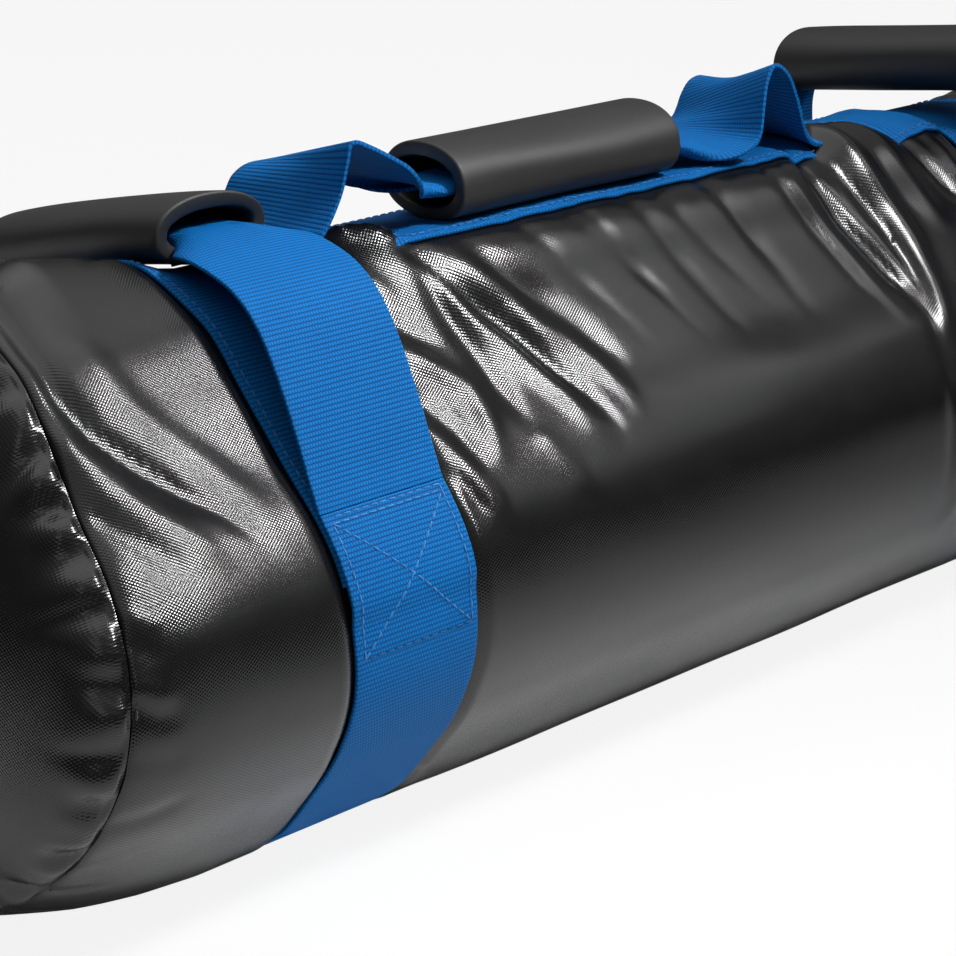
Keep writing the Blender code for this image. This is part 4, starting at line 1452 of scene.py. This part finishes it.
# Loops of webbing
def rolled(turn_left: float, turn_right: float) -> np.ndarray:
    """Cross-section of webbing whose edges roll up and in, as (across, up) points.

    Args:
        turn_left: Degrees that the edge at negative across has rolled up, negative when it has rolled under.
        turn_right: The same for the other edge.

    Returns:
        The points.
    """
    made = []
    edge = (STRAP.width - STRAP.flat) / 2
    for s in np.linspace(-STRAP.width / 2, STRAP.width / 2, STRAP.across):
        turn = turn_left if s < 0 else turn_right
        turn = math.radians(math.copysign(max(abs(turn), 0.3), turn))
        past = max(abs(s) - STRAP.flat / 2, 0) / edge
        radius = edge / turn
        inner = min(abs(s), STRAP.flat / 2)
        made.append((math.copysign(inner + radius * math.sin(turn * past), s), radius * (1 - math.cos(turn * past))))
    return np.array(made)


@dataclass
class Loop:
    """A free length of webbing, read smoothly from stations along it."""

    rows: int = 60
    squeeze: float = 0.5

    def from_stations(self, stations: list[tuple]) -> np.ndarray:
        """Rows of points from stations.

        Args:
            stations: Tuples of middle (3), side (3), face (3), left roll and right roll in degrees.

        Returns:
            Places, as rows by columns by 3.
        """
        keys = np.array([[*middle, *side, *face, left, right] for middle, side, face, left, right in stations])
        run = lengths(keys[:, :3])
        at = np.interp(np.linspace(0, run[-1], self.rows), run, np.linspace(0, 1, len(keys)))
        rows = []
        for read in smooth(keys, at):
            middle, side, face = read[:3], read[3:6], read[6:9]
            side = side / np.linalg.norm(side)
            face = face / np.linalg.norm(face)
            section = rolled(read[9], read[10])
            rows.append(middle + section[:, :1] * side + section[:, 1:] * self.squeeze * face)
        return np.array(rows)


@dataclass(frozen=True)
class Leg:
    """One leg of a handle: its middle line after the foot, as (y, z, left roll, right roll) in mm and degrees."""

    path: tuple[tuple[float, float, float, float], ...]
    shift: float = 0.0


@dataclass
class CrossHandle:
    """A handle across the bag: foam sleeve, the webbing in it and its two legs."""

    label: str
    seat: Seat
    band_x: float
    front: Leg
    back: Leg
    core_ends: tuple[float, float]
    bend: float = 0.0
    lift: float = 1.5 * MM
    roll: float = -225.0
    rolled_height: float = 4.6 * MM

    def mouth(self, sign: int, beyond: float) -> np.ndarray:
        """Middle of the webbing at an end of the sleeve, or beyond it."""
        drop = self.seat.height / 2 - self.seat.wall - self.lift - STRAP.thickness / 2 - self.rolled_height
        return np.array(self.seat.end(sign, beyond)) - (0, 0, drop)

    def leg(self, where: str, sign: int, leg: Leg, beyond: float) -> bpy.types.Object:
        """Leg from its stitched box up into the sleeve.

        Args:
            where: front or back.
            sign: -1 for the front leg and 1 for the back one.
            leg: Its path.
            beyond: How far outside the sleeve it meets the webbing within; negative when inside.

        Returns:
            The dressed piece.
        """
        foot = FORM.place(self.band_x, math.radians(BOX_TOP if sign < 0 else 180 - BOX_TOP), STRAP.layer(2))
        mouth = self.mouth(sign, beyond)
        middles = [(foot, 0, 0)]
        for y, z, left, right in leg.path:
            share = min(1, len(middles) / 3)
            middles.append((np.array((self.band_x + leg.shift * share, y * MM, z * MM)), left, right))
        middles.append((mouth, self.roll, self.roll))
        stations = []
        for i, (middle, left, right) in enumerate(middles):
            before, after = middles[max(i - 1, 0)][0], middles[min(i + 1, len(middles) - 1)][0]
            run = (after - before) / np.linalg.norm(after - before)
            face = (0, sign * run[2], -sign * run[1]) if i < len(middles) - 1 else (0, 0, 1)
            stations.append((middle, (1, 0, 0), face, left, right))
        name = f"{self.label}_{where}_leg"
        piece = STRAP.make(f"{name}_webbing", Loop().from_stations(stations))
        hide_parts(name)
        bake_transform(piece)
        return piece

    def core(self) -> bpy.types.Object:
        """Webbing rolled under inside the sleeve.

        Returns:
            The dressed piece.
        """
        stations = [(tuple(self.mouth(sign, beyond)), (1, 0, 0), (0, 0, 1), self.roll, self.roll)
                    for sign, beyond in zip((-1, 1), self.core_ends)]
        piece = STRAP.make(f"{self.label}_core_webbing", Loop().from_stations(stations))
        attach(piece, f"{self.label}_handle")
        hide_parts(f"{self.label}_core")
        return piece

    def build(self) -> list[bpy.types.Object]:
        """Build the handle's pieces.

        Returns:
            The sleeve, its core and the two lengths that carry on from it.
        """
        grip = Grip(f"{self.label}_grip_foam", self.seat, f"{self.label}_grip", self.bend)
        return [grip.build(f"{self.label}_grip"), self.core(),
                self.leg("front", -1, self.front, self.core_ends[0]),
                self.leg("back", 1, self.back, self.core_ends[1])]


LEFT_ARCH = (
    ((-184, 190.6), (-172, 191.2), (-165, 196), (-158, 204), (-153, 213), (-151, 222), (-149.5, 228.6),
     (-143, 226.5), (-131, 219.5), (-118, 211.5), (-106, 206.8), (-95, 206.6)),
    ((-184, 190.8), (-173, 191.2), (-168, 195), (-163, 201), (-160, 206.5), (-157, 211), (-151, 213.8),
     (-142, 213.6), (-130, 210.6), (-119, 207), (-107, 205.8), (-95, 206.6)))
RIGHT_ARCH = (
    ((103, 193.6), (88, 194.0), (81, 196), (77, 202), (73.5, 211), (67, 222), (58, 227), (52.5, 221),
     (49.5, 211), (47, 203), (42, 199.6), (28, 199.8), (14, 203.5), (4, 206.4), (-3.5, 206.6)),
    ((103, 193.6), (92, 194.2), (87, 197), (83, 203), (79.5, 210), (75, 213.6), (68, 212.6), (63, 208),
     (60, 203.5), (56, 200), (48, 198.8), (32, 199.6), (16, 203.5), (4, 206.4), (-3.5, 206.6)))


@dataclass
class MiddleHandle:
    """The handle along the top: foam sleeve, the webbing in it and its two arches."""

    seat: Seat
    inside: float = 8 * MM
    setback: float = -8 * MM
    sway: float = 2.5 * MM
    roll: float = 232.0
    squeeze: float = 0.36
    rows: int = 84
    free_row: int = 12
    mouth_row: int = -9

    def arch(self, label: str, front: Pairs, back: Pairs) -> bpy.types.Object:
        """Arch stretched between its front and back edges, folded under where it enters the sleeve.

        Args:
            label: left or right.
            front: X and Z of its front edge in mm, from its foot to the mouth.
            back: X and Z of its back edge.

        Returns:
            The dressed piece.
        """
        edges = []
        for keys in (front, back):
            keys = np.array(keys, float) * MM
            run = lengths(keys)
            at = np.interp(np.linspace(0, run[-1], self.rows), run, np.linspace(0, 1, len(keys)))
            edges.append(smooth(keys, at))
        share = np.linspace(0, 1, self.rows)
        closing = step(0.66, 0.93, share)
        rows = np.zeros((self.rows, STRAP.across, 3))
        for i in range(self.rows):
            section = rolled(self.roll * closing[i], self.roll * closing[i])
            mix = ((section[:, 0] / (STRAP.width / 2) + 1) / 2)[:, None]
            flat = edges[0][i] * (1 - mix) + edges[1][i] * mix
            rows[i, :, 0] = flat[:, 0]
            rows[i, :, 1] = self.setback * step(0.3, 0.9, share[i]) - self.sway * closing[i] + section[:, 0]
            rows[i, :, 2] = flat[:, 1] - section[:, 1] * self.squeeze
        lying = (1 - step(0.06, 0.17, share))[:, None]
        angle = math.pi / 2 + rows[..., 1] / (FORM.radius * FORM.top_share)
        ground = FORM.place(rows[..., 0], angle, STRAP.layer(2))[..., 2]
        rows[..., 2] += lying * (ground - rows[..., 2])
        piece = STRAP.make(f"middle_{label}_arch_webbing", rows)
        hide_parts(f"middle_{label}_arch")
        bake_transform(piece)
        return piece

    def core(self) -> bpy.types.Object:
        """Webbing folded inside the sleeve.

        Returns:
            The dressed piece.
        """
        section = rolled(self.roll, self.roll)
        rows = []
        for share in np.linspace(0, 1, 50):
            middle = self.seat.end(-1, -self.inside).lerp(self.seat.end(1, -self.inside), float(share))
            across = middle.y - self.sway + section[:, 0]
            rows.append(np.stack([np.full(len(section), middle.x), across,
                                  middle.z + MM - section[:, 1] * self.squeeze], -1))
        piece = STRAP.make("middle_core_webbing", np.array(rows))
        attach(piece, "middle_handle")
        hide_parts("middle_core")
        return piece

    def build(self) -> list[bpy.types.Object]:
        """Build the handle's pieces.

        Returns:
            The sleeve, its core and the two lengths that carry on from it.
        """
        grip = Grip("middle_grip_foam", self.seat, "middle_grip")
        arches = [self.arch("left", *LEFT_ARCH), self.arch("right", *RIGHT_ARCH)]
        return [grip.build("middle_grip"), self.core(), *arches]


# Zip
@dataclass
class Zip:
    """Zip on the back: two tapes, two rows of coil, end stops, slider and pull."""

    half: float = 140 * MM
    overrun: float = 10 * MM
    tape: float = 16 * MM
    tape_gap: float = 0.15 * MM
    tape_depth: float = 1.7 * MM
    tape_thickness: float = 0.8 * MM
    pitch: float = 1.5 * MM
    slant: float = 0.2 * MM
    hook: float = 0.9 * MM
    wire: float = 0.52 * MM
    tilt: float = 11.66

    def build(self) -> list[bpy.types.Object]:
        """Build the zip's pieces and dress its solids.

        Returns:
            The dressed tapes and coils.
        """
        made = []
        middle = math.radians(FORM.zip_angle)
        reach = float(FORM.reach(np.array([middle]))[0])
        for label, sign in (("upper", 1), ("lower", -1)):
            near = middle - sign * self.tape_gap / reach
            far = middle - sign * self.tape / reach
            angles = np.linspace(near, far, 12)
            x = np.linspace(-self.half - self.overrun, self.half + self.overrun, 150)
            rows = FORM.place(x[:, None], angles[None, :], -self.tape_depth, relief=False)
            cloth = np.stack(np.broadcast_arrays(np.linspace(0, self.tape, 12)[None, :], x[:, None]), -1)
            piece = spread(f"zip_tape_{label}_cloth", rows, cloth)
            apply(piece, "SOLIDIFY", thickness=self.tape_thickness, offset=0.0)
            close_up(piece, 50)
            WARDROBE.dress(piece, Kind.TAPE)
            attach(piece, "bag")
            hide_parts(f"zip_tape_{label}")
            made.append(piece)
            made.append(self.coil(label, sign))
        for node in ("zip_stop_left", "zip_stop_right", "zip_slider", "zip_pull"):
            WARDROBE.dress(FRAME["nodes"][node], Kind.METAL)
        return made

    def coil(self, label: str, sign: int) -> bpy.types.Object:
        """One row of coil: slanted loops that hook past the middle line.

        Args:
            label: upper or lower.
            sign: 1 for the upper row and -1 for the lower one.

        Returns:
            The dressed piece.
        """
        low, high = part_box(f"zip_coil_{label}")
        centre = (low + high) / 2
        tilt = math.radians(self.tilt)
        hook = Vector((self.slant, -math.sin(tilt) * self.hook, math.cos(tilt) * self.hook))
        lines = []
        for i in range(int(2 * self.half / self.pitch)):
            x = -self.half + (i + 0.5 + 0.25 * sign) * self.pitch
            middle = Vector((x, centre.y, centre.z))
            lines.append(np.array([middle - hook, middle + hook]))
        piece = sewn(f"zip_coil_{label}_loops", lines, Kind.NYLON, 1.79 * MM, 1.0 * MM, self.wire)
        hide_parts(f"zip_coil_{label}")
        return piece


# Filling
@dataclass
class Filling:
    """Sand, liner, tie and wadding: softened copies of the sealed solids, with wide and narrow crumples."""

    finishes: dict = field(default_factory=lambda: {
        "sand_fill": (Kind.SAND, 1.4), "liner_bag": (Kind.LINER, 0.5), "liner_tie": (Kind.NYLON, 0.1),
        "wadding_wrap": (Kind.FELT, 0.5), "wadding_end_left": (Kind.FELT, 0.8),
        "wadding_end_right": (Kind.FELT, 0.8)})
    slots: dict = field(default_factory=lambda: {
        Kind.SAND: "sand", Kind.LINER: "liner_weave", Kind.NYLON: "zip_coil", Kind.FELT: "wadding"})
    wide: float = 28 * MM
    narrow: float = 11 * MM

    def build(self) -> list[bpy.types.Object]:
        """Copy each solid, refine it and crumple it a little.

        Returns:
            The dressed pieces.
        """
        made = []
        for node, (kind, crumple) in self.finishes.items():
            source = FRAME["nodes"][node]
            piece = source.copy()
            piece.data = source.data.copy()
            piece.parent = None
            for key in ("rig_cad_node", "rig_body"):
                del piece[key]
            piece.name = piece.data.name = f"{node}_soft"
            bpy.context.scene.collection.objects.link(piece)
            close_up(piece, 60)
            pick(piece)
            bpy.ops.object.mode_set(mode="EDIT")
            bpy.ops.mesh.select_all(action="SELECT")
            bpy.ops.mesh.subdivide(number_cuts=1)
            bpy.ops.object.mode_set(mode="OBJECT")
            for vert in piece.data.vertices:
                spot = Vector(vert.co)
                radial = Vector((0, spot.y, spot.z - FORM.axis))
                if radial.length > MM:
                    wobble = noise.noise(spot / self.wide) + 0.4 * noise.noise(spot / self.narrow)
                    vert.co = spot - radial.normalized() * crumple * MM * (0.5 + 0.5 * wobble)
            bpy.ops.object.shade_smooth_by_angle(angle=math.radians(60))
            WARDROBE.dress(piece, kind)
            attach(piece, "bag")
            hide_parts(node)
            made.append(piece)
        return made


# Studio
@dataclass(frozen=True)
class Lamp:
    """Square area lamp: where it is, what it faces, its side, its power and its spread in degrees."""

    name: str
    place: tuple
    target: tuple
    size: float
    power: float
    spread: float = 180.0

    def hang(self) -> None:
        """Add the lamp to the scene."""
        data = bpy.data.lights.new(self.name, "AREA")
        data.shape = "SQUARE"
        data.size = self.size
        data.energy = self.power
        data.spread = math.radians(self.spread)
        lamp = bpy.data.objects.new(self.name, data)
        lamp.location = self.place
        lamp.rotation_euler = (Vector(self.target) - Vector(self.place)).to_track_quat("-Z", "Y").to_euler()
        bpy.context.scene.collection.objects.link(lamp)


@dataclass
class Studio:
    """Pale floor, soft lights and the camera at the photograph's angle."""

    eye: tuple = (-0.6778, -0.6353, 0.4004)
    yaw: float = 43.78
    pitch: float = 19.44
    film: float = 36.0
    focal_pixels: float = 2582.7
    frame_pixels: float = 956.0
    floor_size: float = 14.0
    floor_glow: float = 0.88
    backdrop: float = 0.8
    sky: tuple = ((0.52, (0.015, 0.015, 0.015)), (1.0, (0.42, 0.42, 0.42)))
    lamps: tuple = (
        Lamp("overhead", (-0.10, 0.35, 1.45), (0, 0, 0.1), 1.7, 9.0),
        Lamp("key", (0.34, -0.76, 1.24), (-0.20, 0, 0.12), 0.30, 1.5, 40.0),
        Lamp("sheen", (0.95, -0.64, 1.05), (0.02, 0, 0.15), 0.26, 0.9),
        Lamp("fill", (-1.6, -1.2, 1.5), (-0.1, 0, 0.1), 0.8, 1.6))

    def build(self) -> None:
        """Build the floor, the lights, the world and the camera."""
        self.camera()
        self.floor()
        self.world()
        for lamp in self.lamps:
            lamp.hang()

    def camera(self) -> None:
        """Camera as the photograph was taken."""
        data = bpy.data.cameras.new("view")
        data.sensor_width = self.film
        data.lens = self.focal_pixels / self.frame_pixels * self.film
        data.clip_start = 0.01
        data.clip_end = 100
        eye = bpy.data.objects.new("view", data)
        yaw, pitch = math.radians(self.yaw), math.radians(self.pitch)
        ahead = Vector((math.sin(yaw) * math.cos(pitch), math.cos(yaw) * math.cos(pitch), -math.sin(pitch)))
        right = Vector((math.cos(yaw), -math.sin(yaw), 0))
        up = right.cross(ahead)
        matrix = Matrix((right, up, -ahead)).transposed().to_4x4()
        matrix.translation = Vector(self.eye)
        eye.matrix_world = matrix
        bpy.context.scene.collection.objects.link(eye)
        bpy.context.scene.camera = eye

    def floor(self) -> None:
        """Pale floor that keeps the bag's soft shadow."""
        deselect()
        bpy.ops.mesh.primitive_plane_add(size=self.floor_size, location=(0, 0, 0))
        floor = bpy.context.object
        floor.name = "floor"
        look = Shading("pale_floor")
        look.surface(Base_Color=(0.86, 0.86, 0.86), Roughness=0.9, Specular_IOR_Level=0.1)
        glow = look.node("ShaderNodeEmission", {}, {"Color": (1.0, 1.0, 1.0), "Strength": 1.0})
        seen = look.node("ShaderNodeLightPath", {}, {}, "Is Camera Ray")
        plain = Value(look, look.shader.outputs[0])
        mixed = look.node("ShaderNodeMixShader", {}, {0: seen * self.floor_glow, 1: plain, 2: glow})
        look.feed(look.tree.nodes["Material Output"].inputs[0], mixed)
        floor.data.materials.append(look.material)

    def world(self) -> None:
        """White for the eye, dim at the horizon and brighter overhead for everything else."""
        world = bpy.data.worlds.new("studio")
        world.use_nodes = True
        bpy.context.scene.world = world
        sky = Nodes(world.node_tree)
        way = sky.node("ShaderNodeTexCoord", {}, {}, "Generated")
        rise = sky.node("ShaderNodeSeparateXYZ", {}, {0: way}, "Z")
        share = sky.node("ShaderNodeMapRange", {}, {"Value": rise, "From Min": -1.0})
        level = sky.node("ShaderNodeValToRGB", {"stops": self.sky}, {0: share})
        ground = sky.node("ShaderNodeBackground", {}, {0: level})
        white = sky.node("ShaderNodeBackground", {}, {0: (self.backdrop,) * 3})
        seen = sky.node("ShaderNodeLightPath", {}, {}, "Is Camera Ray")
        mixed = sky.node("ShaderNodeMixShader", {}, {0: seen, 1: ground, 2: white})
        sky.tree.nodes.remove(sky.tree.nodes["Background"])
        sky.feed(sky.tree.nodes["World Output"].inputs[0], mixed)


def cross_handles() -> list[CrossHandle]:
    """The two handles across the bag, as the photograph shows them lying.

    Returns:
        The left handle and the right one.
    """
    seats = []
    for middle, degrees, width, height in (((-0.19, 0.047, 0.193255), 13, 44, 22.5),
                                           ((0.19, 0.015, 0.207939), 7.5, 41, 26.5)):
        slope = math.radians(degrees)
        seats.append(Seat(middle, (0, math.cos(slope), -math.sin(slope)), width * MM, height * MM))
    left_front = Leg(((-78.7, 144.6, 0, 0), (-73.6, 154.5, 0, 0), (-63.4, 173.4, 0, 0), (-54.5, 186.6, 0, 0),
                      (-44.5, 194.8, -2, -2), (-32, 199.6, -10, -8), (-20, 202.4, -28, -24),
                      (-11, 203.4, -66, -60), (-4.5, 203.6, -118, -118)), 2 * MM)
    left_back = Leg(((87.2, 144, 0, 0), (100.5, 153.5, 0, 0), (112.5, 164, -12, -12), (115.5, 173.5, -120, -120)))
    right_front = Leg(((-79, 149, 0, 0), (-73.4, 166, 0, 0), (-67.5, 188, -20, -20), (-61, 203, -100, -100),
                       (-53, 211, -180, -180)))
    right_back = Leg(((80.5, 152, 0, 0), (81.5, 166, 0, 4), (82.5, 178, -2, -4), (80.5, 187, -10, -16),
                      (76, 193.5, -44, -52), (69, 197.4, -120, -128)))
    return [CrossHandle("left", seats[0], -0.19, left_front, left_back, (-11 * MM, 8 * MM), 1.6 * MM),
            CrossHandle("right", seats[1], 0.19, right_front, right_back, (8 * MM, -8 * MM), 0.6 * MM)]


def main() -> None:
    """Build every piece of the bag."""
    logging.basicConfig(level=logging.INFO, format="%(name)s: %(message)s")
    bpy.context.scene.view_settings.view_transform = "Standard"
    for old in list(bpy.data.objects):
        bpy.data.objects.remove(old, do_unlink=True)
    FRAME.update(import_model())
    middle = Seat((-0.049, -0.008, 0.205746), (1, 0, 0), 41 * MM, 26.5 * MM)
    for part in (Shell(), EndSeams(), Bands(), *cross_handles(), MiddleHandle(middle), Zip(), Filling()):
        for piece in part.build():
            LOG.info("%s: %d faces", piece.name, len(piece.data.polygons))
    Studio().build()


if __name__ == "__main__":
    main()
